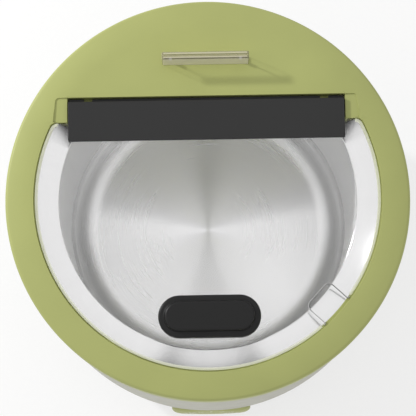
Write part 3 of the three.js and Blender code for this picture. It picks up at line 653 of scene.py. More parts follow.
def clear_sheet(name):
    """Clear plastic sheet: nearly all light passes, and the rest is a sharp reflection."""
    shader = Shader(name)
    wave = shader.bump(shader.noise(6, 2), 0.05)
    shine = shader.node("ShaderNodeBsdfGlossy", {"Color": (1, 1, 1, 1), "Roughness": 0.04, "Normal": wave})
    outside = shader.node("ShaderNodeFresnel", {"IOR": 1.3, "Normal": wave}).outputs[0]
    inside = shader.node("ShaderNodeFresnel", {"IOR": 1 / 1.3, "Normal": wave}).outputs[0]
    facing = shader.node("ShaderNodeNewGeometry").outputs["Backfacing"]
    share = shader.node("ShaderNodeMix", {0: facing, 2: outside, 3: inside}).outputs[0]
    shader.tree.nodes.remove(shader.surface)
    return shader.finish(shader.mixed(share, shader.clear((0.996, 0.995, 0.996, 1)), shine))


def clear_moulding(name):
    """Thick clear moulding: part of the light passes each outer face. Where a face turns over between two
    directions its colour is painted dark, as painted shade, and it holds light back, so the piece casts the
    shadow of its edges and top. Faces towards the front and rear are painted lighter, as painted light."""
    shader = Shader(name)
    geometry = shader.node("ShaderNodeNewGeometry").outputs
    parts = shader.parts(geometry["True Normal"])
    sideways, facing, upright = (shader.math("ABSOLUTE", parts[axis]) for axis in "XYZ")
    flat = shader.math("MAXIMUM", sideways, shader.math("MAXIMUM", facing, upright))
    edge_shade_mask = shader.ranged(flat, 1, 0, 0.8, 0.97)
    cloud = shader.blend(shader.noise(40, 3), linear(208, 199, 184), linear(222, 213, 198))
    # Painted light: faces towards the front and rear get a lighter colour.
    front = shader.blend(shader.ranged(facing, 0, 1, 0.8, 0.97), cloud, linear(250, 242, 224))
    shader.set(
        # Painted shade: the rounded edges and ridges are coloured dark.
        Base_Color=shader.blend(edge_shade_mask, front, linear(108, 100, 88)),
        Roughness=shader.around(shader.noise(70, 3), 0.15, 0.03),
        Normal=shader.bump(shader.noise(90, 2), 0.02),
    )
    outside = shader.math("SUBTRACT", 1.0, geometry["Backfacing"])
    share = shader.math("MULTIPLY", shader.ranged(facing, 0.58, 0.74, 0.7, 0.98), outside)
    seen = shader.mixed(share, shader.clear((0.97, 0.97, 0.96, 1)), shader.surface)
    held = shader.ranged(shader.math("MAXIMUM", edge_shade_mask, upright), 0, 1, 0.2, 0.8)
    through = shader.clear(shader.blend(held, (0.94, 0.94, 0.94, 1), (0.05, 0.05, 0.05, 1)))
    shadow = shader.node("ShaderNodeLightPath").outputs["Is Shadow Ray"]
    return shader.finish(shader.mixed(shadow, seen, through))


def frosted(name, colour, share, passed=(0.97, 0.97, 0.95, 1), spread=0.04):
    """Clear plastic with a satin finish: part of the light passes and the rest is scattered."""
    shader = Shader(name)
    shader.set(Base_Color=colour, Roughness=0.3)
    cloud = shader.around(shader.noise(60, 3), share, spread)
    return shader.finish(shader.mixed(cloud, shader.clear(passed), shader.surface))


def fibrous(name, colour):
    shader = Shader(name)
    fibre = shader.noise(320, 6, 0.7)
    tone = shader.blend(fibre, shade(colour, 0.7), shade(colour, 1.15))
    shader.set(Base_Color=tone, Roughness=0.95, Normal=shader.bump(fibre, 0.8))
    return shader.material


GREEN = moulded("green_plastic", linear(170, 175, 108), 0.5, grain=0.012, gloss=0.35)
BLACK = moulded("black_plastic", linear(44, 44, 44), 0.48, grain=0.02, gloss=0.25)
KNOB_BLACK = moulded("knob_plastic", linear(26, 26, 26), 0.42, grain=0.02, gloss=0.25)
PHENOLIC = moulded("phenolic", linear(74, 58, 48), 0.55)
SILICONE = moulded("silicone", linear(216, 216, 210), 0.65)
RUBBER = moulded("foot_rubber", linear(38, 38, 38), 0.8, grain=0.05, grain_scale=900)
JACKET = moulded("lead_jacket", linear(176, 68, 47), 0.55)
AMBER = moulded("amber_lens", linear(224, 138, 42), 0.2, grain=0.002)
INK = moulded("dial_ink", linear(236, 236, 226), 0.5)
CASING = painted("grey_casing", linear(168, 167, 150), 0.45)
GREY_PAINT = painted("grey_paint", linear(150, 152, 150), 0.5)
# The pot's steel carries a band of painted shade low on the pot, between the given heights.
POT_STEEL = turned_steel("brushed_steel", linear(245, 245, 245), 0.27, 1.0, wall=linear(202, 202, 202),
                         heights=(POT_FLOOR + 0.6, POT_FLOOR + 4.5, POT_FLOOR + 7, POT_FLOOR + 14))
WALL_STEEL = turned_steel("wall_steel", linear(253, 253, 253), 0.8, 0.0)
RIM_STEEL = turned_steel("rim_steel", linear(234, 234, 234), 0.17, 0.9)
OUTER_STEEL = turned_steel("outer_steel", linear(188, 188, 187), 0.32, 0.7)
WELL_STEEL = turned_steel("well_steel", linear(200, 200, 196), 0.35, 0.5)
POLISHED = plain_metal("polished_steel", linear(232, 230, 224), 0.12)
ELEMENT = plain_metal("element_steel", linear(120, 118, 114), 0.4)
SCREW = plain_metal("screw_steel", linear(188, 188, 184), 0.3)
WOOL = fibrous("wool", linear(217, 205, 166))
CLEAR = clear_sheet("clear_plastic")
FROSTED = frosted("frosted_plastic", linear(246, 248, 228), 0.44)
# Painted highlight: the pale lip round the notch shows as a bright line.
LIP = frosted("notch_lip_painted_highlight", linear(252, 250, 252), 0.6)
MOULDING = clear_moulding("clear_moulding")
# Painted shade: the notch's cut edge is grey, so it shows as a dark line.
RIM = frosted("notch_edge_painted_shade", linear(112, 112, 110), 0.55, (0.55, 0.55, 0.55, 1), 0.05)


# Lid and flap

def lid_shell():
    """Frame, land and trough, with the opening, the rebate, the recess and the trough cut out."""
    reach = FRAME_CROWN - FRAME_EDGE
    edge_x, edge_z = FRAME_RADIUS - FRAME_EDGE, reach * math.cos(FRAME_CROWN_TURN) - FRAME_CROWN
    crown_x, turn = edge_x - reach * math.sin(FRAME_CROWN_TURN), math.pi / 2 - FRAME_CROWN_TURN
    shell = turned("lid_shell", rounded([
        (0, 0),
        *arc(crown_x, -FRAME_CROWN, FRAME_CROWN, math.pi / 2, turn, 12),
        *arc(edge_x, edge_z, FRAME_EDGE, turn, 0, 8)[1:],
        (FRAME_RADIUS, -SKIRT, SKIRT_ROUND),
        (FRAME_RADIUS - FRAME_WALL, -SKIRT, SKIRT_ROUND),
        *arc(edge_x, edge_z, FRAME_EDGE - FRAME_WALL, 0, turn, 4),
        *arc(crown_x, -FRAME_CROWN, FRAME_CROWN - FRAME_WALL, turn, math.pi / 2, 8)[1:],
        (0, -FRAME_WALL),
    ], 3), GREEN)
    land = turned("land", [
        (LEDGE_RADIUS - OVERLAP, -LAND_DEPTH), (LAND_RADIUS, -LAND_DEPTH),
        (LAND_RADIUS, -FRAME_WALL / 2), (LEDGE_RADIUS - OVERLAP, -FRAME_WALL / 2),
    ])
    reach = TROUGH_HALF + TROUGH_WALL
    trough = slab("trough", box_outline(-reach, reach, CHORD_Y - OVERLAP, RECESS_BACK_Y + TROUGH_WALL),
                  -TROUGH_DEPTH - TROUGH_WALL, -FRAME_WALL / 2)
    joined(shell, land, trough)
    slant = math.atan2(RECESS_FRONT_HALF - RECESS_BACK_HALF, RECESS_BACK_Y - CHORD_Y)
    corner_x, corner_y = RECESS_BACK_HALF - RECESS_CORNER, RECESS_BACK_Y - RECESS_CORNER
    recess = [
        (-RECESS_FRONT_HALF, CHORD_Y), (RECESS_FRONT_HALF, CHORD_Y),
        *arc(corner_x, corner_y, RECESS_CORNER, slant, math.pi / 2, 8),
        *arc(-corner_x, corner_y, RECESS_CORNER, math.pi / 2, math.pi - slant, 8),
    ]
    ledge = chorded_disc(LEDGE_RADIUS, CHORD_Y, OPENING_CORNER)
    rebate = chorded_disc(REBATE_RADIUS, CHORD_Y, OPENING_CORNER)
    cut(
        shell,
        stacked("opening", [(ledge, -SKIRT), (ledge, -REBATE_DEPTH), (rebate, -REBATE_DEPTH),
                            (rebate, OVERLAP)]),
        slab("recess", recess, -RECESS_DEPTH, OVERLAP),
        slab("trough_inside", box_outline(-TROUGH_HALF, TROUGH_HALF, CHORD_Y - OVERLAP, RECESS_BACK_Y),
             -TROUGH_DEPTH, OVERLAP),
    )
    edged(shell, FRAME_ROUND)
    joined(shell, *[hinge_lug(sign * LUG_X) for sign in (-1, 1)])
    moved(shell, z=LID_PLANE)
    smoothed(shell, weighted=True)
    return keep(shell, "lid", "green_plastic", "lid_frame")


def hinge_lug(x):
    outline = [
        (HINGE_Y - LUG_FOOT_FRONT, -TROUGH_DEPTH - TROUGH_WALL / 2),
        (HINGE_Y - LUG_FOOT_REAR, -TROUGH_DEPTH - TROUGH_WALL / 2),
        *arc(HINGE_Y, HINGE_Z, LUG_RADIUS, -math.pi / 3, math.pi * 1.2, 24),
    ]
    return moved(across(slab("lug", outline, -LUG_WIDTH / 2, LUG_WIDTH / 2)), x)


def hinge_bar():
    """Flat black bar with the hinge's barrel low behind its rear edge, slotted for the lugs."""
    start = math.pi - math.asin((BAR_UNDER - HINGE_Z) / BARREL_RADIUS)
    outline = rounded([
        (BAR_FRONT_Y, BAR_UNDER, 0.4),
        *arc(HINGE_Y, HINGE_Z, BARREL_RADIUS, start, TURN - 0.2, 32),
        (BAR_GROOVE_Y, BAR_GROOVE_Z), (BAR_GROOVE_Y, BAR_TOP, BAR_EDGE),
        (BAR_FRONT_Y, BAR_TOP, BAR_EDGE),
    ], 4)
    bar = across(slab("hinge_bar_cover", outline, -BAR_HALF, BAR_HALF, 0.5, BLACK))
    half = LUG_WIDTH / 2 + LUG_GAP
    wedge = [(HINGE_Y, HINGE_Z), *arc(HINGE_Y, HINGE_Z, SLOT_REACH, SLOT_START, SLOT_END, 24)]
    eye = arc(HINGE_Y, HINGE_Z, LUG_RADIUS + LUG_GAP, 0, TURN, 32)[:-1]
    for sign in (-1, 1):
        cut(bar,
            moved(across(slab("wedge", wedge, -half, half)), sign * LUG_X),
            moved(across(slab("eye", eye, -half, half)), sign * LUG_X))
    moved(bar, z=LID_PLANE)
    smoothed(bar, weighted=True)
    return keep(bar, "flap", "black_plastic", "hinge_bar")


def flap_parts():
    """The flap's outline in named runs, counter-clockwise from the notch: rims, corners, tail and notch."""
    corner_x = math.sqrt((FLAP_RADIUS - OPENING_CORNER) ** 2 - (FLAP_CHORD - OPENING_CORNER) ** 2)
    corner_y = FLAP_CHORD - OPENING_CORNER
    turn = math.atan2(corner_y, corner_x)
    half, wide = NOTCH_WIDTH / 2, NOTCH_WIDTH / 2 + NOTCH_MOUTH
    spread = math.asin(wide / FLAP_RADIUS)
    rim_x = math.sqrt(FLAP_RADIUS ** 2 - half ** 2)
    notch = rounded([
        (FLAP_RADIUS * math.cos(spread), -wide), (rim_x, -half, NOTCH_MOUTH_ROUND),
        (NOTCH_RADIUS, -half, NOTCH_CORNER), (NOTCH_RADIUS, half, NOTCH_CORNER),
        (rim_x, half, NOTCH_MOUTH_ROUND), (FLAP_RADIUS * math.cos(spread), wide),
    ], 6)
    cosine, sine = math.cos(NOTCH_TURN), math.sin(NOTCH_TURN)
    return {
        "right": arc(0, 0, FLAP_RADIUS, TURN + NOTCH_TURN + spread, TURN + turn, 120)[1:-1]
        + arc(corner_x, corner_y, OPENING_CORNER, turn, math.pi / 2, 8),
        "tail": [(FLAP_TAIL_HALF, FLAP_CHORD), (FLAP_TAIL_HALF, FLAP_TAIL_BACK),
                 (-FLAP_TAIL_HALF, FLAP_TAIL_BACK), (-FLAP_TAIL_HALF, FLAP_CHORD)],
        "left": arc(-corner_x, corner_y, OPENING_CORNER, math.pi / 2, math.pi - turn, 8)
        + arc(0, 0, FLAP_RADIUS, math.pi - turn, TURN + NOTCH_TURN - spread, 200)[1:-1],
        "notch": [(x * cosine - y * sine, x * sine + y * cosine) for x, y in notch],
    }


def band(name, outer, inner, low, high, material):
    """A strip of rectangular section between two open runs of points, closed at its ends."""
    bm = bmesh.new()
    rails = [[bm.verts.new((x * MM, y * MM, z * MM)) for x, y in run]
             for run, z in ((outer, low), (outer, high), (inner, high), (inner, low))]
    for i, rail in enumerate(rails):
        beside = rails[(i + 1) % len(rails)]
        for k in range(len(rail) - 1):
            bm.faces.new((rail[k], rail[k + 1], beside[k + 1], beside[k]))
    bm.faces.new([rail[0] for rail in rails])
    bm.faces.new([rail[-1] for rail in rails][::-1])
    return add_object(name, bm, material)


def clear_flap():
    """The sheet, the frosted lips along its rims, the pale lip round the notch as a painted highlight,
    and the notch's grey cut edge as painted shade.
    """
    parts = flap_parts()
    outline = sum(parts.values(), [])
    flap = slab("clear_flap_sheet", inset(outline, FLAP_CUT), FLAP_UNDER, FLAP_TOP, 0.3, CLEAR)
    moved(flap, z=LID_PLANE)
    smoothed(flap, weighted=True)
    keep(flap, "flap", "clear_plastic", "clear_lid")
    # Run, kind, outer and inner distance from the outline, low, high, material
    bands = [
        ("right", "lip", 0.1, FLAP_LIP, FLAP_TOP - 1.4, FLAP_TOP + 0.5, FROSTED),
        ("left", "lip", 0.1, FLAP_LIP, FLAP_TOP - 1.4, FLAP_TOP + 0.5, FROSTED),
        # The notch's pale lip and grey cut edge are painted highlight and painted shade.
        ("notch", "lip", FLAP_CUT, NOTCH_LIP, FLAP_TOP - 0.6, FLAP_TOP + 0.3, LIP),
        ("notch", "cut", 0.0, FLAP_CUT - 0.02, FLAP_UNDER + 0.2, FLAP_TOP - 0.1, RIM),
    ]
    for run, kind, outer, inner, low, high, material in bands:
        names = list(parts)
        first = sum(len(parts[name]) for name in names[:names.index(run)])
        last = first + len(parts[run])
        piece = band(f"clear_flap_{kind}_{run}", inset(outline, outer)[first:last],
                     inset(outline, inner)[first:last], low, high, material)
        edged(piece, 0.15)
        moved(piece, z=LID_PLANE)
        smoothed(piece, weighted=True)
        keep(piece, "flap", "clear_plastic")


def knob():
    """Long low knob: a wide foot, and a raised top inside a border."""
    foot_edge, shelf_edge, top_edge = 2.2, 1.2, 2.4
    foot = stadium(KNOB_LENGTH, KNOB_WIDTH)
    rise = KNOB_HEIGHT + KNOB_RAISE
    side = rounded([
        (KNOB_FOOT_ROUND, 0), (0, KNOB_FOOT_ROUND), (0, KNOB_HEIGHT, foot_edge),
        (KNOB_BORDER, KNOB_HEIGHT, shelf_edge), (KNOB_BORDER + KNOB_SLOPE, rise, top_edge),
        (KNOB_BORDER + KNOB_CROWN, rise),
    ], 6)
    piece = stacked("flap_knob", [(inset(foot, inward), height) for inward, height in side], KNOB_BLACK)
    moved(piece, 0, KNOB_Y, LID_PLANE + KNOB_UNDER)
    smoothed(piece, weighted=True)
    return keep(piece, "flap", "black_plastic", "lid_knob")


def handle():
    """Clear grip that stands on the deck: two round ridges along its top, rounded corners at its ends."""
    ridge = HANDLE_THICKNESS / 4 - RIDGE_GAP
    top = HANDLE_HEIGHT - ridge
    half = HANDLE_THICKNESS / 2
    section = [
        (-half, HANDLE_FOOT), (half, HANDLE_FOOT), *arc(half - ridge, top, ridge, 0, math.pi, 12),
        *arc(ridge - half, top, ridge, 0, math.pi, 12),
    ]
    grip = across(slab("handle_grip", section, -HANDLE_HALF, HANDLE_HALF, HANDLE_EDGE, MOULDING))
    high, side = HANDLE_HEIGHT - HANDLE_CORNER, HANDLE_HALF - HANDLE_CORNER
    outline = [
        (-HANDLE_HALF - 1, -1), (HANDLE_HALF + 1, -1), (HANDLE_HALF + 1, high - 2),
        (HANDLE_HALF, high - 1), *arc(side, high, HANDLE_CORNER, 0, math.pi / 2, 12),
        *arc(-side, high, HANDLE_CORNER, math.pi / 2, math.pi, 12), (-HANDLE_HALF, high - 1),
        (-HANDLE_HALF - 1, high - 2),
    ]
    combined(grip, [spun(slab("side", outline, -half - 1, half + 1), math.pi / 2, "X")], "INTERSECT")
    moved(grip, 0, HANDLE_Y, LID_PLANE)
    smoothed(grip, weighted=True)
    return keep(grip, "lid", "clear_plastic", "frame_handle")


def seal():
    high = -LAND_DEPTH - SEAL_GAP
    ring = turned("frame_seal_ring", rounded([
        (SEAL_INNER, SEAL_LOW, 0.8), (SEAL_OUTER, SEAL_LOW, 0.8), (SEAL_OUTER, high, 0.5),
        (SEAL_INNER, high, 0.5),
    ], 3), SILICONE)
    moved(ring, z=LID_PLANE)
    smoothed(ring)
    return keep(ring, "lid", "silicone", "frame_seal")


# Pot, well and casing

def pot():
    """Pot with a bead under its hollow flange; its outside, wall and flange each have their own steel."""
    flat = POT_RADIUS - POT_CORNER
    bend = POT_FLOOR + POT_CORNER
    low, high = COVE_LOW_TURN, COVE_HIGH_TURN
    cove = COVE_WIDTH / (math.sin(high) - math.sin(low))
    outer_cove = cove + POT_WALL
    cove_x, cove_z = POT_RADIUS - cove * math.sin(low), POT_RIM + cove * math.cos(high)
    outer_low = math.asin((POT_RADIUS + POT_WALL - cove_x) / outer_cove)
    outer_high = math.acos((cove_z - POT_RIM + POT_WALL) / outer_cove)
    top = cove_z - cove * math.cos(low)
    profile = rounded([
        (0, POT_FLOOR),
        *arc(flat, bend, POT_CORNER, -math.pi / 2, 0, 16),
        (POT_RADIUS, top - BEAD * 3),
        *arc(POT_RADIUS, top - BEAD, BEAD, -math.pi * 0.62, -math.pi * 1.5, 10),
        *arc(cove_x, cove_z, cove, low - math.pi / 2 + 0.02, high - math.pi / 2, 16),
        (POT_RIM_RADIUS, POT_RIM, 0.5),
        (POT_RIM_RADIUS, POT_RIM - POT_WALL, 0.5),
        *arc(cove_x, cove_z, outer_cove, outer_high - math.pi / 2, outer_low - math.pi / 2, 12),
        *arc(flat, bend, POT_CORNER + POT_WALL, 0, -math.pi / 2, 16),
        (0, POT_FLOOR - POT_WALL),
    ], 5)
    piece = smoothed(turned("pot_shell", profile, POT_STEEL))
    for steel in (WALL_STEEL, RIM_STEEL, OUTER_STEEL):
        piece.data.materials.append(steel)
    for face in piece.data.polygons:
        radius, height = face.center.xy.length / MM, face.center.z / MM
        around = radius > POT_RADIUS + POT_WALL / 2 and face.normal.z < 0.1
        if around or height < POT_FLOOR - POT_WALL / 2:
            face.material_index = 3
        elif height > top - BEAD / 2:
            face.material_index = 2
        elif height > bend:
            face.material_index = 1
    return keep(piece, "pot", "brushed_steel", "soup_pot")


def well():
    flat = WELL_RADIUS - WELL_CORNER
    bend = WELL_FLOOR + WELL_CORNER
    outer = WELL_RADIUS + WELL_WALL
    under = WELL_FLOOR - WELL_WALL
    piece = turned("well_shell", rounded([
        (0, WELL_FLOOR),
        *arc(flat, bend, WELL_CORNER, -math.pi / 2, 0, 12),
        (WELL_RADIUS, WELL_RIM, 0.8),
        (WELL_RIM_RADIUS, WELL_RIM, 0.4),
        (WELL_RIM_RADIUS, WELL_RIM - WELL_WALL, 0.4),
        (outer, WELL_RIM - WELL_WALL),
        *arc(flat, bend, WELL_CORNER + WELL_WALL, 0, -math.pi / 2, 12),
        (STUD_RADIUS, under), (STUD_RADIUS, under - STUD_LENGTH + STUD_CHAMFER),
        (STUD_RADIUS - STUD_CHAMFER, under - STUD_LENGTH), (0, under - STUD_LENGTH),
    ], 3), WELL_STEEL)
    smoothed(piece)
    return keep(piece, "casing", "brushed_steel", "inner_well")


def casing_at(z):
    """Casing radius and outward tilt at a height on the drawn-in foot."""
    drop = (BODY_BEND - BODY_BOTTOM) / math.sin(BODY_BEND_TURN)
    turn = math.asin((BODY_BEND - z) / drop)
    radius = BODY_RADIUS - BODY_DRAW + BODY_DRAW * math.cos(turn)
    return radius, math.atan2(BODY_DRAW * math.sin(turn), drop * math.cos(turn))


def bend_points(inward, steps):
    drop = (BODY_BEND - BODY_BOTTOM) / math.sin(BODY_BEND_TURN)
    width = BODY_DRAW - inward
    low = math.asin((BODY_BEND - BODY_BOTTOM - inward) / drop) if inward else BODY_BEND_TURN
    return arc(BODY_RADIUS - BODY_DRAW, BODY_BEND, width, -low, 0, steps, drop / width)


def facing_front(piece, back_y, z):
    """Turns a piece built up along Z so that its top faces the front."""
    spun(piece, math.pi / 2, "X")
    return moved(piece, 0, back_y, z)


def casing_shell():
    """Drawn-in casing with the dial's pocket, the lamp's hole and the gland's pad."""
    outer_well = WELL_RADIUS + WELL_WALL + WELL_GAP
    outer = [*bend_points(0, 20), (BODY_RADIUS, SHOULDER, 0.8), (BODY_RIM_RADIUS, SHOULDER),
             (BODY_RIM_RADIUS, BODY_RIM, 1.0)]
    inner = [
        (outer_well, BODY_RIM), (outer_well, BODY_RIM - BODY_WALL),
        (BODY_RIM_RADIUS - BODY_WALL, BODY_RIM - BODY_WALL),
        (BODY_RIM_RADIUS - BODY_WALL, SHOULDER - BODY_WALL / 2),
        (BODY_RADIUS - BODY_WALL, SHOULDER - BODY_WALL * 2),
        *bend_points(BODY_WALL, 20)[::-1],
        (BODY_LIP_RADIUS, BODY_BOTTOM + BODY_WALL), (BODY_LIP_RADIUS, BODY_BOTTOM),
    ]
    shell = turned("casing_shell", rounded(outer + inner, 4), CASING)
    filled = turned("filled", rounded([(0, BODY_BOTTOM), *outer, (0, BODY_RIM)], 4))
    cup_end = POCKET_FLOOR_Y + BODY_WALL
    cup = facing_front(rod("cup", POCKET_RADIUS + BODY_WALL, 0, CUTTER_LENGTH, MEDIUM), cup_end, DIAL_Z)
    combined(cup, [filled], "INTERSECT")
    pad = facing_front(rod("pad", GLAND_PAD_RADIUS, 0, GLAND_PAD_DEPTH, COARSE), GLAND_PAD_Y, GLAND_Z)
    joined(shell, cup, pad)
    pocket = facing_front(rod("pocket", POCKET_RADIUS, 0, CUTTER_LENGTH, MEDIUM), POCKET_FLOOR_Y, DIAL_Z)
    shaft_hole = facing_front(rod("shaft_hole", SHAFT_HOLE, 0, SHAFT_HOLE_DEPTH, COARSE), cup_end + OVERLAP,
                              DIAL_Z)
    gland_hole = facing_front(rod("gland_hole", GLAND_HOLE, 0, GLAND_LENGTH, COARSE), GLAND_PAD_Y + OVERLAP,
                              GLAND_Z)
    lamp_hole = rod("lamp_hole", LAMP_RADIUS + LAMP_GAP, -LAMP_LENGTH, LAMP_LENGTH, COARSE)
    cut(shell, pocket, shaft_hole, gland_hole, lamp_seated(lamp_hole))
    edged(shell, 0.4)
    smoothed(shell, weighted=True)
    return keep(shell, "casing", "grey_casing", "outer_body")


def lamp_seated(piece):
    """Puts a piece built along Z on the lamp's place on the casing, pointing out of it."""
    radius, tilt = casing_at(DIAL_Z)
    spun(piece, math.pi / 2 + tilt, "X")
    moved(piece, 0, -radius, DIAL_Z)
    return spun(piece, LAMP_TURN, "Z")


def pilot_lamp():
    dome = arc(0, LAMP_SEAT, LAMP_FLANGE, 0.12 * math.pi, math.pi / 2, 10, LAMP_RISE / LAMP_FLANGE)
    lamp = turned("pilot_lamp_lens", [
        (0, -LAMP_LENGTH), (LAMP_RADIUS, -LAMP_LENGTH), (LAMP_RADIUS, LAMP_SEAT),
        (LAMP_FLANGE, LAMP_SEAT), *dome[:-1], (0, LAMP_SEAT + LAMP_RISE),
    ], AMBER, COARSE)
    smoothed(lamp_seated(lamp))
    return keep(lamp, "casing", "amber_lens", "pilot_lamp")


def foot(index):
    turn = math.pi / 4 + (index - 1) * math.pi / 2
    piece = turned(f"rubber_foot_{index}", rounded([
        (FOOT_BORE, FOOT_RECESS_HEIGHT), (FOOT_RECESS, FOOT_RECESS_HEIGHT), (FOOT_RECESS, 0, 0.5),
        (FOOT_RADIUS, 0, 1.0), (FOOT_TOP_RADIUS, FOOT_HEIGHT, 0.8), (FOOT_BORE, FOOT_HEIGHT),
    ], 4), RUBBER, COARSE)
    moved(piece, FOOT_CIRCLE * math.cos(turn), FOOT_CIRCLE * math.sin(turn), 0)
    smoothed(piece)
    return keep(piece, "casing", "foot_rubber", f"foot_{index}")


def gland():
    """Cable gland at the rear: a collar outside the casing and a thread through it."""
    piece = turned("cable_gland", rounded([
        (GLAND_BORE, -GLAND_LENGTH), (GLAND_THREAD, -GLAND_LENGTH, 0.4), (GLAND_THREAD, GLAND_SEAT),
        (GLAND_COLLAR, GLAND_SEAT, 0.4), (GLAND_COLLAR, GLAND_COLLAR_HEIGHT, 0.8),
        (GLAND_NOSE, GLAND_HEIGHT, 0.8), (GLAND_BORE, GLAND_HEIGHT, 0.6),
    ], 4), BLACK, COARSE)
    spun(piece, -math.pi / 2, "X")
    moved(piece, 0, GLAND_PAD_Y, GLAND_Z)
    smoothed(piece)
    return keep(piece, "casing", "black_plastic", "power_inlet")


# Dial

def dial():
    depth = DIAL_BACK_Y - DIAL_FRONT_Y
    rim = depth - DIAL_EDGE
    edge = DIAL_RADIUS - DIAL_FACE_RADIUS
    piece = turned("dial_cap", rounded([
        (0, depth),
        *arc(DIAL_FACE_RADIUS, rim, edge, math.pi / 2, 0, 12, DIAL_EDGE / edge),
        (DIAL_RADIUS, 0, 0.5),
        (DIAL_RADIUS - DIAL_WALL, 0, 0.5),
        (DIAL_RADIUS - DIAL_WALL, rim - DIAL_WALL),
        (DIAL_FACE_RADIUS - DIAL_WALL, depth - DIAL_WALL),
        (DIAL_BOSS_RADIUS, depth - DIAL_WALL), (DIAL_BOSS_RADIUS, DIAL_BOSS_LOW),
        (DIAL_BORE, DIAL_BOSS_LOW), (DIAL_BORE, depth - DIAL_BORE_ROOF), (0, depth - DIAL_BORE_ROOF),
    ], 3), GREEN, MEDIUM)
    facing_front(piece, DIAL_BACK_Y, DIAL_Z)
    smoothed(piece)
    keep(piece, "dial", "green_plastic", "temperature_dial")
    dial_marks()
    return piece


def dial_marks():
    """Numbers and ticks printed round the dial's face."""
    for number in range(NUMBERS):
        turn = math.radians(NUMBER_START + NUMBER_STEP * number)
        outline = box_outline(-TICK_HALF, TICK_HALF, TICK_INNER, TICK_OUTER, 0.3)
        tick = slab(f"dial_tick_{number}", outline, 0, TICK_RISE, 0, INK)
        numeral = moved(lettered(f"dial_number_{number}", str(number)), 0, NUMBER_RADIUS, NUMBER_LIFT)
        for mark in (tick, numeral):
            facing_front(spun(mark, turn, "Z"), DIAL_FRONT_Y, DIAL_Z)
            keep(mark, "dial", "pale_plastic")


def lettered(name, words):
    """Raised lettering as a mesh object, centred on the origin."""
    curve = bpy.data.curves.new(name, "FONT")
    curve.body = words
    curve.size = NUMBER_SIZE * MM
    curve.extrude = NUMBER_DEPTH * MM
    curve.align_x = curve.align_y = "CENTER"
    text = bpy.data.objects.new(name, curve)
    bpy.context.scene.collection.objects.link(text)
    bpy.context.view_layer.update()
    graph = bpy.context.evaluated_depsgraph_get()
    bm = bmesh.new()
    bm.from_mesh(bpy.data.meshes.new_from_object(text.evaluated_get(graph)))
    bpy.data.objects.remove(text)
    return add_object(name, bm, INK)


# CAD nodes that stay, with better materials

def dress(material, *names):
    for name in names:
        mesh = NODES[name].data
        mesh.materials.clear()
        mesh.materials.append(material)


def dress_nodes():
    dress(WOOL, "insulation")
    dress(GREY_PAINT, "base_plate")
    dress(PHENOLIC, "thermostat", "thermal_cutout")
    dress(SILICONE, "terminal_block")
    dress(JACKET, "lead_supply", "lead_switched", "lead_cutout", "lead_return")
    dress(ELEMENT, "heating_element", "sensing_bulb")
    dress(BLACK, "gland_nut")
    dress(POLISHED, "hinge_pin_left", "hinge_pin_right")
    dress(SCREW, "clamp_strip", "element_clamp", "clamp_nut", "lamp_nut", "thermostat_shaft",
          "handle_screw_left", "handle_screw_right",
          "knob_screw_left", "knob_screw_right", "thermostat_screw_left", "thermostat_screw_right",
          *[f"{kind}_{i}" for kind in ("bar_screw", "foot_screw", "base_screw") for i in range(1, 5)])


# Studio

def look_at(position, target, roll=0.0):
    """A camera or lamp matrix at a position, in metres, that looks at a target."""
    back = (Vector(position) - Vector(target)).normalized()
    side = Vector((0, 1, 0)).cross(back)
    side = side.normalized() if side.length > TINY else Vector((1, 0, 0))
    up = back.cross(side)
    turn = Matrix((side, up, back)).transposed().to_4x4()
    return Matrix.Translation(position) @ turn @ Matrix.Rotation(roll, 4, "Z")


def camera():
    data = bpy.data.cameras.new("camera")
    data.sensor_width = SENSOR_WIDTH
    data.lens = FOCAL_PIXELS / IMAGE_WIDTH * SENSOR_WIDTH
    made = bpy.data.objects.new("camera", data)
    bpy.context.scene.collection.objects.link(made)
    position = Vector((0, -math.sin(CAMERA_TILT) * CAMERA_DISTANCE,
                       LID_PLANE + math.cos(CAMERA_TILT) * CAMERA_DISTANCE)) * MM
    target = Vector((*CAMERA_AIM, LID_PLANE)) * MM
    made.matrix_world = look_at(position, target, CAMERA_ROLL)
    bpy.context.scene.camera = made


def key_lamp():
    data = bpy.data.lights.new("key", "AREA")
    data.shape = "RECTANGLE"
    data.size = KEY_WIDTH
    data.size_y = KEY_HEIGHT
    data.energy = KEY_POWER
    made = bpy.data.objects.new("key", data)
    bpy.context.scene.collection.objects.link(made)
    turn, rise = math.radians(KEY_AZIMUTH), math.radians(KEY_ELEVATION)
    away = Vector((math.cos(turn) * math.cos(rise), math.sin(turn) * math.cos(rise), math.sin(rise)))
    made.matrix_world = look_at(Vector(KEY_TARGET) + away * KEY_DISTANCE, KEY_TARGET)


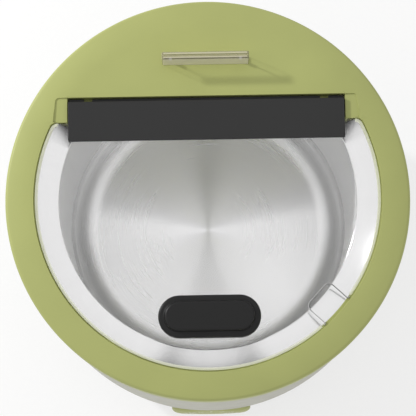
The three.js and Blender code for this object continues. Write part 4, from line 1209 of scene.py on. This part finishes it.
def floor():
    """Pale paper; what the camera and reflections see of it is lifted towards white."""
    bm = bmesh.new()
    bmesh.ops.create_circle(bm, cap_ends=True, segments=96, radius=FLOOR_RADIUS)
    shader = Shader("floor_paper")
    path = shader.node("ShaderNodeLightPath").outputs
    mirrored = shader.math("MAXIMUM", path["Is Glossy Ray"], path["Is Transmission Ray"])
    seen = shader.math("MAXIMUM", path["Is Camera Ray"], mirrored)
    grain = shader.blend(shader.noise(300, 2), (0.93, 0.93, 0.93, 1), (0.97, 0.97, 0.97, 1))
    paper = shader.node("ShaderNodeBsdfDiffuse", {"Color": grain})
    lifted = shader.node("ShaderNodeEmission", {"Color": (1, 1, 1, 1), "Strength": 1.0})
    shader.tree.nodes.remove(shader.surface)
    material = shader.finish(shader.mixed(shader.math("MULTIPLY", seen, FLOOR_LIFT), paper, lifted))
    add_object("floor", bm, material)


def world():
    """White studio: even light on the object; reflections see a white sky on either side of a greyer strip."""
    made = bpy.data.worlds.new("studio")
    bpy.context.scene.world = made
    made.use_nodes = True
    made.cycles.sampling_method = "NONE"
    tree = made.node_tree

    def eased(value, span, low, high):
        return add_node(tree, "ShaderNodeMapRange", {
            "Value": value, "From Min": span[0], "From Max": span[1], "To Min": low, "To Max": high,
        }, interpolation_type="SMOOTHSTEP").outputs["Result"]

    def maths(operation, *values):
        return add_node(tree, "ShaderNodeMath", dict(enumerate(values)), operation=operation).outputs[0]

    path = add_node(tree, "ShaderNodeLightPath").outputs
    place = add_node(tree, "ShaderNodeTexCoord").outputs["Generated"]
    parts = add_node(tree, "ShaderNodeSeparateXYZ", {"Vector": place}).outputs
    rise = eased(parts["Z"], SKY_RISE, SKY_LOW, 1.0)
    sides = eased(maths("ABSOLUTE", parts["X"]), (0, SKY_GAP), SKY_MIDDLE, 1.0)
    front = eased(parts["Y"], STRIP_FRONT, 1.0, SKY_MIDDLE)
    rear = eased(parts["Y"], STRIP_REAR, SKY_MIDDLE, 1.0)
    sky = maths("MULTIPLY", rise, maths("MAXIMUM", sides, maths("MAXIMUM", front, rear)))
    mirrored = maths("MAXIMUM", path["Is Glossy Ray"], path["Is Transmission Ray"])
    lit = add_node(tree, "ShaderNodeMix", {0: mirrored, 2: SKY_LIGHT, 3: sky}).outputs[0]
    shown = add_node(tree, "ShaderNodeMix", {0: path["Is Camera Ray"], 2: lit, 3: 1.0}).outputs[0]
    back = tree.nodes["Background"]
    fill(tree, back.inputs["Color"], (1, 1, 1, 1))
    fill(tree, back.inputs["Strength"], shown)


def studio():
    camera()
    floor()
    world()
    key_lamp()
    bpy.context.scene.view_settings.view_transform = "Standard"


lid_shell()
hinge_bar()
clear_flap()
knob()
handle()
seal()
pot()
well()
casing_shell()
pilot_lamp()
for number in range(1, 5):
    foot(number)
gland()
dial()
dress_nodes()
studio()
